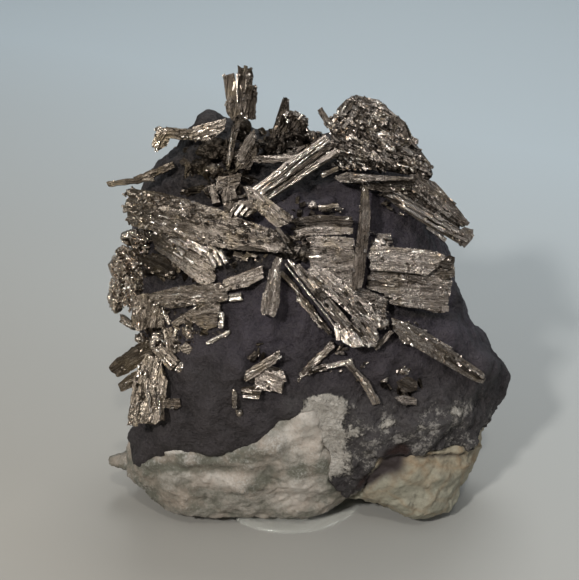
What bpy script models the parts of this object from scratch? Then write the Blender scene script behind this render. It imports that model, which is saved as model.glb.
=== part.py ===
"""Dyscrasite specimen: sprays of flat silver-antimony blades grown on a crust of native arsenic,
over a band of white calcite and cream host rock, standing on a clear round disc.

Metres, +Z up. The origin is the centre of the disc's underside, and the display face looks to -Y.
"""

import math
import random
from collections import namedtuple

import bmesh
import bpy
from mathutils import Vector, noise

MM = 0.001
GAP = 0.3 * MM  # clearance between two solids that touch

# ---------------------------------------------------------------- driving dimensions
STAND_DIAMETER = 40 * MM
STAND_THICKNESS = 3 * MM
STAND_EDGE_RADIUS = 1.2 * MM
STAND_SEGMENTS = 48
STAND_ARC_STEPS = 2

# The display face is a plane that leans back over the stand. Places on it are (across, up)
# in millimetres as somebody sees them who looks squarely at the face from VIEWING_DISTANCE,
# and depth is the height above the plane, towards that viewer.
FACE_CENTRE = Vector((0, 2.4, 55)) * MM
FACE_LEAN = math.radians(26.5)
VIEWING_DISTANCE = 273.6 * MM
ACROSS = Vector((1, 0, 0))
UP = Vector((0, math.sin(FACE_LEAN), math.cos(FACE_LEAN)))
OUT = Vector((0, -math.cos(FACE_LEAN), math.sin(FACE_LEAN)))

# The whole stone's outline on the face, clockwise from the lower left corner (mm).
STONE_OUTLINE = (
    (-38.5, -43), (-38, -38.5), (-37.7, -34), (-34.5, -31), (-33, -24), (-34.5, -14.5),
    (-36, -6), (-37, 3), (-37, 12), (-36, 20), (-34, 26), (-31.5, 30), (-28.5, 33), (-25.5, 36),
    (-23.5, 39), (-21.5, 41.5), (-19.5, 42.5), (-17, 41.5), (-13, 40.5), (-9.5, 39), (-6.5, 37.5),
    (-3.5, 38), (0, 38.5), (5, 36.5), (11, 37), (17.5, 37.5), (24, 34.5), (29, 30), (33, 24),
    (35.5, 18), (37, 11), (38, 6.5), (39, 2), (41, -2.5), (43, -8), (44.5, -9.5), (46.5, -11),
    (47.5, -13), (51.5, -17.5), (52, -21), (50.5, -24.5), (48.5, -27), (48, -30.5), (45.5, -33.5),
    (45, -38), (43.5, -42), (41, -46), (40, -50), (38, -53), (34.5, -55), (30.5, -54.5), (26, -53),
    (21.5, -51), (17.5, -49.5), (14.5, -49.5), (11, -51), (7, -54), (0, -55), (-10, -55),
    (-18, -55), (-26, -54), (-31, -51), (-35, -46.5),
)
STONE_MIDDLE = (2, -8)
OUTLINE_SMOOTHING = 3  # neighbours on each side that round the rings inside the outline
# (up, depth) in mm: the crown of the front, the rim seen edge-on, and the flat of the back
FRONT_PROFILE = ((-56, 3), (-46, 9), (-34, 13), (0, 16), (28, 15), (44, 12))
RIM_PROFILE = ((-56, -7), (-30, -8), (10, -9), (44, -2))
BACK_PROFILE = ((-56, -44), (-20, -42), (44, -20))
# Broken faces of the back: each plane's depth at the middle, and its slope across and up.
BACK_FACETS = ((-33, 0.02, 0.3), (-38, -0.1, -0.16), (-43, 0.62, 0.22), (-44, -0.5, 0.3), (-36, 0.2, 0.06))
FRONT_RINGS = (0.96, 0.88, 0.77, 0.62, 0.44, 0.23)
BACK_RINGS = (0.96, 0.86, 0.68, 0.45, 0.22)
SKIN_FALL = 3  # how squarely the front and back fall away to the rim: higher is squarer
OUTLINE_HOLD = 5  # how soon the rings lose the outline's small corners: higher is sooner
HEAP_SIZE, HEAP_HEIGHT = 13, 2.1  # mm, the rise and fall of the stone's skin
FINE_HEAP = (0.45, 0.5)  # a second set of them: its share of the size and of the height
FRONT_SEEDS, BACK_SEEDS = (31, 57), (-31, -57)
STONE_UNDERSIDE = STAND_THICKNESS + GAP

# A rounded lump: its middle as seen on the face, its depth and its half sizes (mm).
Lump = namedtuple("Lump", "middle depth half_sizes")

# Where the arsenic crust ends above the paler rock (mm), and how the layers thicken.
CRUST_EDGE = (
    (-60, -43), (-38, -42.5), (-34, -41.5), (-30, -39.5), (-21.5, -39.5), (-7, -35.5), (3.5, -28.5),
    (9.5, -25), (12.5, -33), (13.2, -47), (14.5, -49), (19, -45), (25, -38), (31, -39.5), (38, -38.5),
    (42, -36), (46, -33), (60, -30),
)
CRUST_THICKNESS = 17
CRUST_RISE = 0.8  # mm of thickness for each mm above the edge
CRUST_SHORTFALL = -6  # how far in front of the stone the layer's floor runs where there is none
CALCITE_THICKNESS = ((-60, 15), (6, 14), (12, 6), (17, -5), (60, -5))  # (across, mm)
CALCITE_LEDGE = Lump((-39.5, -40.7), -15, (4, 1.9, 4.5))  # juts out at the lower left
LAYER_GRID, LAYER_REACH, LAYER_BLOCK = 9, 67.5, 90  # spacing, half width and depth of a cutting block (mm)
LAYER_WAVE_SIZE, LAYER_WAVE_HEIGHT = 17, 2.2
CRUST_SEED, CALCITE_SEED = 83, 19

# One crystal: root and tip as seen on the face, their depths, width and thickness (mm), the number
# of laths that it is striated into, and the roll about its own length (degrees).
Blade = namedtuple("Blade", "root tip depth width thick laths roll", defaults=(2, 0))

CRYSTALS = {
    "crown_left": (
        Blade((-12.5, 31), (-10, 53.5), (9, 9), 2.8, 2.2, 2),
        Blade((-13, 33.5), (-12.4, 53.3), (10, 10.5), 2.2, 2, 1),
        Blade((-13.5, 37), (-15, 50.5), (8.5, 9), 3, 2, 2),
        Blade((-10, 35), (-8.5, 48.5), (7, 7.5), 2.6, 1.8, 2),
        Blade((-14.5, 28.5), (-12, 44), (12.5, 12), 1.6, 1.6, 1),
        Blade((-15, 28), (-10, 36), (11.5, 11), 3, 2.2, 2),
        Blade((-12.5, 30), (-16.5, 18.5), (13, 16.5), 3.4, 2.4, 2),
        Blade((-12.5, 39.5), (-31.5, 36.5), (9, 6.5), 3.2, 2.8, 3, 10),
        Blade((-28.5, 37), (-32.5, 34), (6.5, 6.5), 2.4, 2.2, 1),
        Blade((-17.5, 33.5), (-21.5, 21.5), (11.5, 12.5), 4.2, 2.6, 2, -12),
    ),
    "left_spike": (
        Blade((-25, 29), (-43, 25), (8, 6), 1.7, 1.7, 1),
        Blade((-24, 29.5), (-33.5, 27), (8.5, 7.5), 3.2, 2.4, 2),
    ),
    "left_sheaf": (
        Blade((-7.5, 15.5), (-38.5, 22), (15.5, 4), 4.4, 2.8, 3),
        Blade((2, 8), (-39, 18), (18, 4), 4.8, 3.2, 3),
        Blade((-9, 10), (-38.5, 13.5), (15.5, 3.5), 4.4, 2.8, 3),
        Blade((-16, 6.5), (-33, 15), (16.5, 10), 3.6, 2.8, 3),
        Blade((-19, 1.8), (-37, 11.5), (14.5, 5.5), 5.4, 3.4, 3),
        Blade((-27, 3.5), (-38, 8), (10, 3), 4.6, 3, 2),
        Lump((-38, 20), 3, (2.4, 2.6, 3)),
    ),
    "left_lump": (
        Lump((-37.6, 4.4), -1, (5, 5.6, 6)),
        Lump((-39, -2), -1.5, (4.2, 4.8, 5.5)),
        Blade((-37.4, 7.5), (-41.4, -1), (5.6, 3.6), 3.4, 2.4, 2, -15),
    ),
    "left_blades": (
        Lump((-38.6, -8), 1, (2, 2.2, 2.6)),
        Blade((-15, 0.8), (-35.5, -2.6), (16.5, 7.5), 4, 2.8, 3),
        Blade((-6.5, 3.6), (-16, 0), (18.5, 16.5), 3.2, 2.4, 2),
        Blade((-33, -1.5), (-33.2, -10.5), (6.5, 6), 7.8, 3.6, 4),
        Blade((-31, -8.2), (-16, -3.6), (9, 15), 2.6, 2.2, 2),
        Blade((-16.4, -3.4), (-16.9, -10.2), (15, 15.5), 1.7, 1.5, 1),
        Blade((-20, -12.6), (-14, -10), (13, 14), 1.7, 1.5, 1),
        Lump((-24, -9.5), 10, (3, 3, 2.4)),
        Lump((-19, -10), 11.5, (2.8, 2.4, 2.4)),
    ),
    "lower_left_spray": (
        Blade((-30.5, -11.8), (-42.5, -19.5), (9.5, 5), 4.8, 2.8, 3),
        Blade((-31.5, -17), (-39.5, -24), (8.5, 5), 3.4, 2.2, 2),
        Blade((-31.2, -12.5), (-34.5, -32), (10, 10), 7.6, 3.4, 4),
        Blade((-31, -11.5), (-25.8, -19.8), (9.5, 11), 3.4, 2.4, 2),
        Blade((-32, -26.3), (-26, -27), (10, 9.5), 2, 2, 1),
    ),
    "diagonal_blade": (
        Blade((-7.5, 21.2), (11.5, 35), (17, 18.5), 5.4, 3.2, 4, 8),
    ),
    "thin_bar": (
        Blade((-10, 30.4), (2.5, 31), (12.5, 14), 1.7, 1.7, 1),
    ),
    "crossing_blades": (
        Blade((-10.8, 24.6), (0.5, 15.8), (21, 22), 3.2, 2.2, 2),
        Blade((-14, 18.3), (-8, 20.6), (20.5, 20.5), 3, 2, 2),
        Blade((-10.5, 22.5), (0.2, 9), (20, 22), 2, 1.8, 1),
    ),
    "horn": (
        Blade((-4.5, 35.5), (0, 46), (5, 7.5), 1.9, 1.7, 1),
        Lump((1.2, 37.6), 4.5, (3.8, 4.2, 4)),
        Blade((0, 36), (6.8, 37), (6, 7.5), 3.4, 2.6, 2),
        Blade((1.5, 31.5), (6, 37.5), (11, 10.5), 3.4, 2.4, 2),
    ),
    "crest": (
        Blade((10.8, 44), (24.8, 41.8), (6.5, 5), 4.4, 3.2, 2, -20),
        Blade((9.8, 41.2), (28.2, 37), (8.5, 7), 5, 3.4, 3, 10),
        Blade((9, 37.6), (30, 33), (10.5, 9), 5, 3.6, 3, -10),
        Blade((11, 34), (34.2, 29.4), (12.5, 11), 5, 3.6, 3, 8),
        Blade((13, 30.6), (34.5, 26.8), (14, 13), 4, 3, 2),
        Blade((12.6, 45.6), (21, 45.4), (5, 4.5), 2.8, 2.6, 2),
        Blade((10.5, 27.2), (34, 27), (15.5, 15.5), 2.8, 2.6, 2, 20),
        Blade((9.8, 38), (7.4, 43.2), (9, 9.5), 1.7, 1.7, 1),
    ),
    "right_tail": (
        Blade((20, 23.6), (43.2, 13), (14, 11.5), 4.4, 2.8, 3),
        Blade((30, 24), (42.8, 16), (11.5, 11), 3.2, 2.6, 2),
        Blade((32, 15.4), (37.6, 11), (9, 10), 1.6, 1.6, 1),
    ),
    "upright_blade": (
        Blade((17.4, 25), (16, 1), (20, 21), 2.8, 2.2, 2, 12),
    ),
    "center_block": (
        Blade((4.6, 6.6), (15.8, 6), (15, 16), 12.4, 3.4, 5),
        Blade((1, 13.4), (15.6, 14), (15.5, 16.5), 2.1, 2, 2),
    ),
    "short_lath": (
        Blade((3.5, 20.4), (12, 19.6), (15, 16), 1.6, 1.6, 1),
    ),
    "right_slab": (
        Blade((18.6, 3.6), (38.2, 1.6), (16.5, 16), 11.6, 3.6, 5),
        Blade((19.6, 7.4), (35.4, 6.2), (18.5, 18), 5.6, 3, 3),
        Blade((34.4, 5), (39, 4.6), (15.5, 15), 5.6, 3, 2),
        Blade((20.5, 12), (24.2, 11.4), (16.5, 16.5), 3.6, 2, 1),
    ),
    "lower_fan": (
        Blade((-1.8, 7), (13, -12.4), (19.5, 20), 2.4, 2.2, 1),
        Blade((0, 7.2), (16.8, -13), (18.5, 19), 3, 2.6, 2),
        Blade((2.4, 5.4), (20.8, -11.2), (17.5, 18), 3.6, 2.8, 2),
        Blade((6, 1), (23.4, -7.6), (17, 16.8), 3.6, 2.6, 2),
        Blade((19.4, -14.6), (24.4, -10), (16.5, 16.5), 1.7, 1.6, 1),
    ),
    "lower_thin_blade": (
        Blade((-1.5, 2.6), (10.4, -11.2), (15.8, 16.5), 1.9, 1.8, 1),
    ),
    "hanging_blade": (
        Blade((-2.4, 7.2), (-4.2, -6.5), (22.5, 21), 3.2, 2.2, 2),
    ),
    "right_long_blade": (
        Blade((23.5, -7.4), (47.4, -21), (17, 8.5), 4.3, 2.8, 3),
    ),
    "lower_middle_cross": (
        Blade((-10.6, -22.6), (-2, -15), (14.5, 18), 2.2, 2, 2),
        Blade((-7.4, -20.6), (-1, -21.6), (14.5, 15.5), 3.2, 2.2, 2),
        Blade((-12.8, -24), (-6.4, -24.6), (13.5, 14.5), 2.2, 2, 1),
        Blade((-12.6, -23.4), (-12.6, -29), (14, 13.5), 1.8, 1.6, 1),
    ),
    "twigs": (
        Blade((3, -20.2), (10.6, -13), (14, 16.5), 1.9, 1.7, 1),
        Blade((2.6, -19.8), (14.8, -16.4), (14, 16.5), 1.6, 1.5, 1),
        Blade((13.6, -16.6), (21, -26.8), (16.5, 13.5), 2, 1.7, 1),
    ),
    "small_plate": (
        Blade((24.8, -26.4), (30.2, -26.6), (11.5, 12), 2.2, 1.8, 2),
    ),
    "far_side_left": (
        Blade((-14, 33), (-25, 24), (-17, -20), 4.2, 2.6, 3),
        Blade((-22, 30), (-17, 20), (-18, -23), 3.2, 2.4, 2),
        Blade((-13, 35), (-5, 27), (-15, -22), 3, 2.2, 2),
    ),
    "far_side_right": (
        Blade((33, 14), (27, 26), (-16, -14), 4, 2.6, 3),
        Blade((34, 4), (31, 16), (-19, -16), 3.2, 2.4, 2),
    ),
}
LATH_OVERLAP = 1.25  # a lath's width over its share of the blade
LATH_UNEVEN_ENDS = 0.1  # share of the blade's length by which its laths fall short
LATH_UNEVEN_HEIGHT = 0.16  # share of the thickness by which they stand above each other
LATH_TOP = 0.8  # top width over bottom width
LUMP_ROUGHNESS = 0.22

# ---------------------------------------------------------------- materials
FINISHES = {  # base colour, roughness, metallic
    "silver": ((0.36, 0.33, 0.29), 0.35, 0.9),
    "arsenic": ((0.06, 0.055, 0.07), 0.75, 0.2),
    "calcite": ((0.62, 0.6, 0.53), 0.5, 0.0),
    "host": ((0.5, 0.47, 0.38), 0.75, 0.0),
    "clear": ((0.85, 0.9, 0.88), 0.05, 0.0),
}


def material(name, finish):
    """A Principled material of one finish, with an object's own name."""
    colour, roughness, metallic = FINISHES[finish]
    made = bpy.data.materials.new(name)
    made.use_nodes = True
    shader = made.node_tree.nodes["Principled BSDF"]
    shader.inputs["Base Color"].default_value = (*colour, 1)
    shader.inputs["Roughness"].default_value = roughness
    shader.inputs["Metallic"].default_value = metallic
    if finish == "clear":
        shader.inputs["Transmission Weight"].default_value = 1
        shader.inputs["IOR"].default_value = 1.49
    return made


# ---------------------------------------------------------------- geometry helpers
def along(profile, at):
    """The value of a list of (place, value) pairs at a place, in straight runs between them."""
    if at <= profile[0][0]:
        return profile[0][1]
    for (x0, y0), (x1, y1) in zip(profile, profile[1:]):
        if at <= x1:
            return y0 + (y1 - y0) * (at - x0) / (x1 - x0)
    return profile[-1][1]


def face_point(across, up, depth):
    """The world point that is seen at (across, up) mm and stands depth mm above the face."""
    nearer = 1 - depth * MM / VIEWING_DISTANCE
    return (FACE_CENTRE + ACROSS * (across * nearer * MM) + UP * (up * nearer * MM)
            + OUT * (depth * MM))


def object_from(bm, name, finish=None):
    """A linked object from a bmesh, with quads halved one fixed way and its faces turned outwards."""
    bmesh.ops.triangulate(bm, faces=bm.faces, quad_method="FIXED")
    bmesh.ops.recalc_face_normals(bm, faces=bm.faces)
    mesh = bpy.data.meshes.new(name)
    bm.to_mesh(mesh)
    bm.free()
    made = bpy.data.objects.new(name, mesh)
    bpy.context.scene.collection.objects.link(made)
    if finish:
        mesh.materials.append(material(name, finish))
    return made


def combine(obj, operation, others):
    """Unites others with obj or cuts them from it, by one exact Boolean, and deletes them."""
    if not others:
        return
    group = bpy.data.collections.new("operands")
    for other in others:
        group.objects.link(other)
    boolean = obj.modifiers.new("combine", "BOOLEAN")
    boolean.solver = "EXACT"
    boolean.operation = operation
    boolean.operand_type = "COLLECTION"
    boolean.collection = group
    settled = bpy.data.meshes.new_from_object(
        obj.evaluated_get(bpy.context.evaluated_depsgraph_get())
    )
    obj.modifiers.remove(boolean)
    old, obj.data = obj.data, settled
    settled.name = obj.name
    bpy.data.meshes.remove(old)
    for other in others:
        bpy.data.objects.remove(other)
    bpy.data.collections.remove(group)


def keep_largest_body(obj):
    """Drops crumbs that a cut has parted from the main body."""
    bm = bmesh.new()
    bm.from_mesh(obj.data)
    bm.verts.ensure_lookup_table()
    seen, bodies = set(), []
    for start in bm.verts:
        if start.index in seen:
            continue
        body, queue = [], [start]
        seen.add(start.index)
        while queue:
            vert = queue.pop()
            body.append(vert)
            for edge in vert.link_edges:
                other = edge.other_vert(vert)
                if other.index not in seen:
                    seen.add(other.index)
                    queue.append(other)
        bodies.append(body)

    def reach(body):
        """The diagonal of a body's box."""
        return sum((max(v.co[i] for v in body) - min(v.co[i] for v in body)) ** 2 for i in range(3))

    for body in sorted(bodies, key=reach)[:-1]:
        bmesh.ops.delete(bm, geom=body, context="VERTS")
    bm.to_mesh(obj.data)
    bm.free()


# ---------------------------------------------------------------- the stone
def outline_radius(angle):
    """How far the outline lies from the stone's middle in a direction, in mm."""
    turn = 2 * math.pi
    polar = sorted(
        (math.atan2(u - STONE_MIDDLE[1], a - STONE_MIDDLE[0]) % turn,
         math.hypot(a - STONE_MIDDLE[0], u - STONE_MIDDLE[1]))
        for a, u in STONE_OUTLINE
    )
    ring = [(polar[-1][0] - turn, polar[-1][1]), *polar, (polar[0][0] + turn, polar[0][1])]
    return along(ring, angle % turn)


def smooth_outline():
    """The outline's distances from the middle, averaged over the neighbours."""
    far = [math.hypot(a - STONE_MIDDLE[0], u - STONE_MIDDLE[1]) for a, u in STONE_OUTLINE]
    count = len(far)
    reach = range(-OUTLINE_SMOOTHING, OUTLINE_SMOOTHING + 1)
    return [sum(far[(i + k) % count] for k in reach) / len(reach) for i in range(count)]


def front_depth(across, up):
    """Depth of the stone's front, a dome between its rim and its crown, in mm."""
    a, u = across - STONE_MIDDLE[0], up - STONE_MIDDLE[1]
    share = min(1, math.hypot(a, u) / outline_radius(math.atan2(u, a)))
    rim, crown = along(RIM_PROFILE, up), along(FRONT_PROFILE, up)
    return rim + (crown - rim) * math.sqrt(1 - share ** SKIN_FALL)


def stone(name, grow=0.0):
    """The whole stone as one closed body, grown outwards by so many mm."""
    bm = bmesh.new()
    even = smooth_outline()

    def ring(share, side):
        """One ring of points at a share of the way from the middle to the outline."""
        points = []
        for (a, u), round_far in zip(STONE_OUTLINE, even):
            a, u = a - STONE_MIDDLE[0], u - STONE_MIDDLE[1]
            far = math.hypot(a, u)
            blend = share ** OUTLINE_HOLD
            reach = (share * (far * blend + round_far * (1 - blend)) + grow * share) / far
            a, u = STONE_MIDDLE[0] + a * reach, STONE_MIDDLE[1] + u * reach
            rim = along(RIM_PROFILE, u)
            height = math.sqrt(1 - share ** SKIN_FALL)
            if side > 0:
                depth = rim + (along(FRONT_PROFILE, u) - rim + grow) * height
            else:
                dome = rim + (along(BACK_PROFILE, u) - rim) * height
                planes = (d + a * across_slope + u * up_slope for d, across_slope, up_slope in BACK_FACETS)
                depth = max(dome, *planes) - grow * height
            coarse, fine = FRONT_SEEDS if side > 0 else BACK_SEEDS
            heaps = noise.noise(Vector((a, u, coarse)) / HEAP_SIZE)
            heaps += FINE_HEAP[1] * noise.noise(Vector((a, u, fine)) / (FINE_HEAP[0] * HEAP_SIZE))
            depth += HEAP_HEIGHT * heaps * min(1, 3 * height)
            points.append(bm.verts.new(face_point(a, u, depth)))
        return points

    def skin(rings):
        """Faces between rings that follow each other."""
        for inner, outer in zip(rings, rings[1:]):
            for i, vert in enumerate(inner):
                j = (i + 1) % len(inner)
                bm.faces.new((vert, inner[j], outer[j], outer[i]))

    def close(inner, side):
        """A fan of faces over the innermost ring."""
        middle = bm.verts.new(sum((v.co for v in inner), Vector()) / len(inner) + OUT * (side * 0.5 * MM))
        for i, vert in enumerate(inner):
            bm.faces.new((middle, vert, inner[(i + 1) % len(inner)]))

    rim = ring(1, 1)
    front = [rim] + [ring(share, 1) for share in FRONT_RINGS]
    back = [rim] + [ring(share, -1) for share in BACK_RINGS]
    skin(front)
    skin(back)
    close(front[-1], 1)
    close(back[-1], -1)
    return object_from(bm, name)


def box(name, low, high):
    """A closed box between two corners."""
    bm = bmesh.new()
    bmesh.ops.create_cube(bm, size=1)
    low, high = Vector(low), Vector(high)
    for vert in bm.verts:
        vert.co = [(low[i] + high[i]) / 2 + vert.co[i] * (high[i] - low[i]) for i in range(3)]
    return object_from(bm, name)


def layer_floor(across, up, calcite):
    """Depth of the crust's floor, or of the calcite's floor under it, in mm."""
    front = front_depth(across, up)
    crust = min(CRUST_THICKNESS, max(CRUST_SHORTFALL, CRUST_RISE * (up - along(CRUST_EDGE, across))))
    floor = front - crust
    floor += LAYER_WAVE_HEIGHT * noise.noise(Vector((across, up, CRUST_SEED)) / LAYER_WAVE_SIZE)
    if calcite:
        floor = min(floor, front) - along(CALCITE_THICKNESS, across)
        floor += LAYER_WAVE_HEIGHT * noise.noise(Vector((across, up, CALCITE_SEED)) / LAYER_WAVE_SIZE)
    return floor


def beyond_layer(name, calcite, side, shift):
    """Everything in front of a layer's floor (side 1) or behind it (side -1), as a closed block."""
    steps = round(2 * LAYER_REACH / LAYER_GRID)
    places = [-LAYER_REACH + i * LAYER_GRID for i in range(steps + 1)]
    bm = bmesh.new()
    near = [[bm.verts.new(face_point(a, u, layer_floor(a, u, calcite) + shift)) for a in places]
            for u in places]
    away = [[bm.verts.new(face_point(a, u, side * LAYER_BLOCK)) for a in places] for u in places]
    for sheet in (near, away):
        for i in range(steps):
            for j in range(steps):
                bm.faces.new((sheet[i][j], sheet[i][j + 1], sheet[i + 1][j + 1], sheet[i + 1][j]))
    for i in range(steps):
        for edge in (
            (near[0][i], near[0][i + 1], away[0][i + 1], away[0][i]),
            (near[-1][i], near[-1][i + 1], away[-1][i + 1], away[-1][i]),
            (near[i][0], near[i + 1][0], away[i + 1][0], away[i][0]),
            (near[i][-1], near[i + 1][-1], away[i + 1][-1], away[i][-1]),
        ):
            bm.faces.new(edge)
    return object_from(bm, name)


def build_stone():
    """The three minerals of the matrix: crust, calcite band and host rock."""
    half_gap = GAP / MM / 2
    layers = (
        ("arsenic_matrix", "arsenic", (beyond_layer("behind", False, -1, half_gap),)),
        ("calcite_vein", "calcite", (
            beyond_layer("before", False, 1, -half_gap),
            beyond_layer("behind", True, -1, half_gap),
        )),
        ("host_rock", "host", (
            beyond_layer("before", False, 1, -half_gap),
            beyond_layer("before_calcite", True, 1, -half_gap),
        )),
    )
    for name, finish, cutters in layers:
        mass = stone(name)
        ground = box("ground", (-0.2, -0.2, -0.2), (0.2, 0.2, STONE_UNDERSIDE))
        combine(mass, "DIFFERENCE", (ground, *cutters))
        keep_largest_body(mass)
        if name == "calcite_vein":
            combine(mass, "UNION", (lump_solid(CALCITE_LEDGE, 0),))
        mass.data.materials.clear()
        mass.data.materials.append(material(name, finish))


# ---------------------------------------------------------------- the crystals
def laths_of(blade, chance):
    """The straight laths that a blade is striated into, each as its ends, side, up and sizes in m."""
    root, tip = (face_point(*place, depth) for place, depth in zip((blade.root, blade.tip), blade.depth))
    length = (tip - root).length
    axis = (tip - root).normalized()
    side = axis.cross(OUT).normalized()
    up = side.cross(axis)
    roll = math.radians(blade.roll)
    side, up = side * math.cos(roll) + up * math.sin(roll), up * math.cos(roll) - side * math.sin(roll)
    share = blade.width * MM / blade.laths
    thick = blade.thick * MM
    laths = []
    for i in range(blade.laths):
        offset = side * share * (i - (blade.laths - 1) / 2)
        lift = up * thick * LATH_UNEVEN_HEIGHT * (i % 2 + chance.uniform(-0.5, 0.5))
        short = length * LATH_UNEVEN_ENDS * chance.random() * (blade.laths > 1)
        late = length * LATH_UNEVEN_ENDS * chance.random() * (blade.laths > 1)
        width = share * (LATH_OVERLAP if blade.laths > 1 else 1)
        slant = chance.uniform(-0.5, 0.5) * width
        laths.append((root + offset + lift + axis * late, tip + offset + lift - axis * short,
                      side, up, width, thick, slant))
    return laths


def lath_solid(lath, grow):
    """A lath with a trapezium section and slanting ends."""
    start, end, side, up, width, thick, slant = lath
    axis = (end - start).normalized()
    start, end = start - axis * grow, end + axis * grow
    width, thick = width + 2 * grow, thick + 2 * grow
    bm = bmesh.new()
    rings = []
    for middle, lean in ((start, slant), (end, slant)):
        ring = []
        for across, height, top in ((-0.5, -0.5, 1), (0.5, -0.5, 1), (0.5, 0.5, LATH_TOP), (-0.5, 0.5, LATH_TOP)):
            ring.append(bm.verts.new(
                middle + side * (across * width * top) + up * (height * thick) + axis * (lean * across)
            ))
        rings.append(ring)
    for i in range(4):
        j = (i + 1) % 4
        bm.faces.new((rings[0][i], rings[0][j], rings[1][j], rings[1][i]))
    bm.faces.new(rings[0])
    bm.faces.new(rings[1])
    return object_from(bm, "lath")


def lump_solid(lump, grow):
    """A faceted lump with an uneven surface."""
    bm = bmesh.new()
    bmesh.ops.create_icosphere(bm, subdivisions=2, radius=1)
    middle = face_point(*lump.middle, lump.depth)
    for vert in bm.verts:
        rough = 1 + LUMP_ROUGHNESS * noise.noise(vert.co * 1.7 + Vector(lump.middle).to_3d())
        a, u, d = (vert.co[i] * (rough * lump.half_sizes[i] * MM + grow) for i in range(3))
        vert.co = middle + ACROSS * a + UP * u + OUT * d
    return object_from(bm, "lump")


def crystal_solids(name, grow=0.0):
    """The separate solids of one group of crystals, grown outwards by so many metres."""
    chance = random.Random(name)
    solids = []
    for shape in CRYSTALS[name]:
        if isinstance(shape, Lump):
            solids.append(lump_solid(shape, grow))
        else:
            solids.extend(lath_solid(lath, grow) for lath in laths_of(shape, chance))
    return solids


def corners(obj):
    """The lowest and highest corners of an object's mesh."""
    places = [vert.co for vert in obj.data.vertices]
    return [min(p[i] for p in places) for i in range(3)], [max(p[i] for p in places) for i in range(3)]


def near(box_a, box_b):
    """Whether two boxes come within the gap of each other."""
    return all(box_a[0][i] < box_b[1][i] + GAP and box_b[0][i] < box_a[1][i] + GAP for i in range(3))


def build_crystals():
    """Each group joined in one solid, fitted to the stone and to the groups made before it."""
    made = []
    for name in CRYSTALS:
        first, *rest = crystal_solids(name)
        first.name = name
        combine(first, "UNION", rest)
        place = corners(first)
        neighbours = [stone("rock", grow=GAP / MM)]
        for other in made:
            for solid in crystal_solids(other, grow=GAP):
                if near(place, corners(solid)):
                    neighbours.append(solid)
                else:
                    bpy.data.objects.remove(solid)
        combine(first, "DIFFERENCE", neighbours)
        keep_largest_body(first)
        first.data.materials.clear()
        first.data.materials.append(material(name, "silver"))
        made.append(name)


# ---------------------------------------------------------------- the stand
def build_stand():
    """A turned disc with its upper and lower edges rounded."""
    radius = STAND_DIAMETER / 2
    profile = []
    for middle, first in ((STAND_EDGE_RADIUS, -90), (STAND_THICKNESS - STAND_EDGE_RADIUS, 0)):
        for step in range(STAND_ARC_STEPS + 1):
            turn = math.radians(first + 90 * step / STAND_ARC_STEPS)
            profile.append((radius - STAND_EDGE_RADIUS * (1 - math.cos(turn)),
                            middle + STAND_EDGE_RADIUS * math.sin(turn)))
    bm = bmesh.new()
    rings = []
    for far, height in profile:
        turns = [2 * math.pi * i / STAND_SEGMENTS for i in range(STAND_SEGMENTS)]
        rings.append([bm.verts.new((far * math.cos(t), far * math.sin(t), height)) for t in turns])
    for lower, upper in zip(rings, rings[1:]):
        for i in range(STAND_SEGMENTS):
            j = (i + 1) % STAND_SEGMENTS
            bm.faces.new((lower[i], lower[j], upper[j], upper[i]))
    bm.faces.new(rings[0])
    bm.faces.new(rings[-1])
    disc = object_from(bm, "stand", "clear")
    disc.data.shade_smooth()
    disc.data.set_sharp_from_angle(angle=math.radians(40))


def main():
    for obj in list(bpy.data.objects):
        bpy.data.objects.remove(obj)
    build_stand()
    build_stone()
    build_crystals()


main()
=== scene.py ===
"""Dyscrasite specimen, dressed: ribbed silver-antimony blades on a lumpy arsenic crust, white
calcite and cream host rock, on a clear turned disc. Metres, +Z up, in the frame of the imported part.
"""

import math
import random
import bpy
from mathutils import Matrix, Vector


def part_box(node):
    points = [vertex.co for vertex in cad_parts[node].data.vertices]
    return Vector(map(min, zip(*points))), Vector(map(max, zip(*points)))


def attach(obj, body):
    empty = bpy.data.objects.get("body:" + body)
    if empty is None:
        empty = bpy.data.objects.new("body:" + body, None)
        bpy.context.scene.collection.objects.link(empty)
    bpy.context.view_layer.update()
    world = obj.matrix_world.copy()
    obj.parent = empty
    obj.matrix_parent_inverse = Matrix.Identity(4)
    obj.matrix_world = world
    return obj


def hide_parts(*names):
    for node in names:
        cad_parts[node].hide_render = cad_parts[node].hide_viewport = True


bl_info = {
    "name": "Dyscrasite specimen",
    "version": (1, 0, 0),
    "blender": (4, 5, 0),
    "location": "3D View > Sidebar > Specimen",
    "description": "Builds a mineral specimen of bladed crystals on rock, with stand and studio",
    "category": "Object",
}

from collections import namedtuple

import bpy
import numpy as np
from mathutils import Euler, Matrix, Vector, noise
from mathutils.bvhtree import BVHTree

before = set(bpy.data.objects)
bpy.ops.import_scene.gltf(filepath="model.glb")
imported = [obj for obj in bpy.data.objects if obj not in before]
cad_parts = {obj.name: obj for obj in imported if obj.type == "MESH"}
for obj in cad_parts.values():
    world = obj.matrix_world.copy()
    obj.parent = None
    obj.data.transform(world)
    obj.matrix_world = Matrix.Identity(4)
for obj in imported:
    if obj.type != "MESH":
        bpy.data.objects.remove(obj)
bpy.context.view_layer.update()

MM = 0.001
ROOT = "root"

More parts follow.
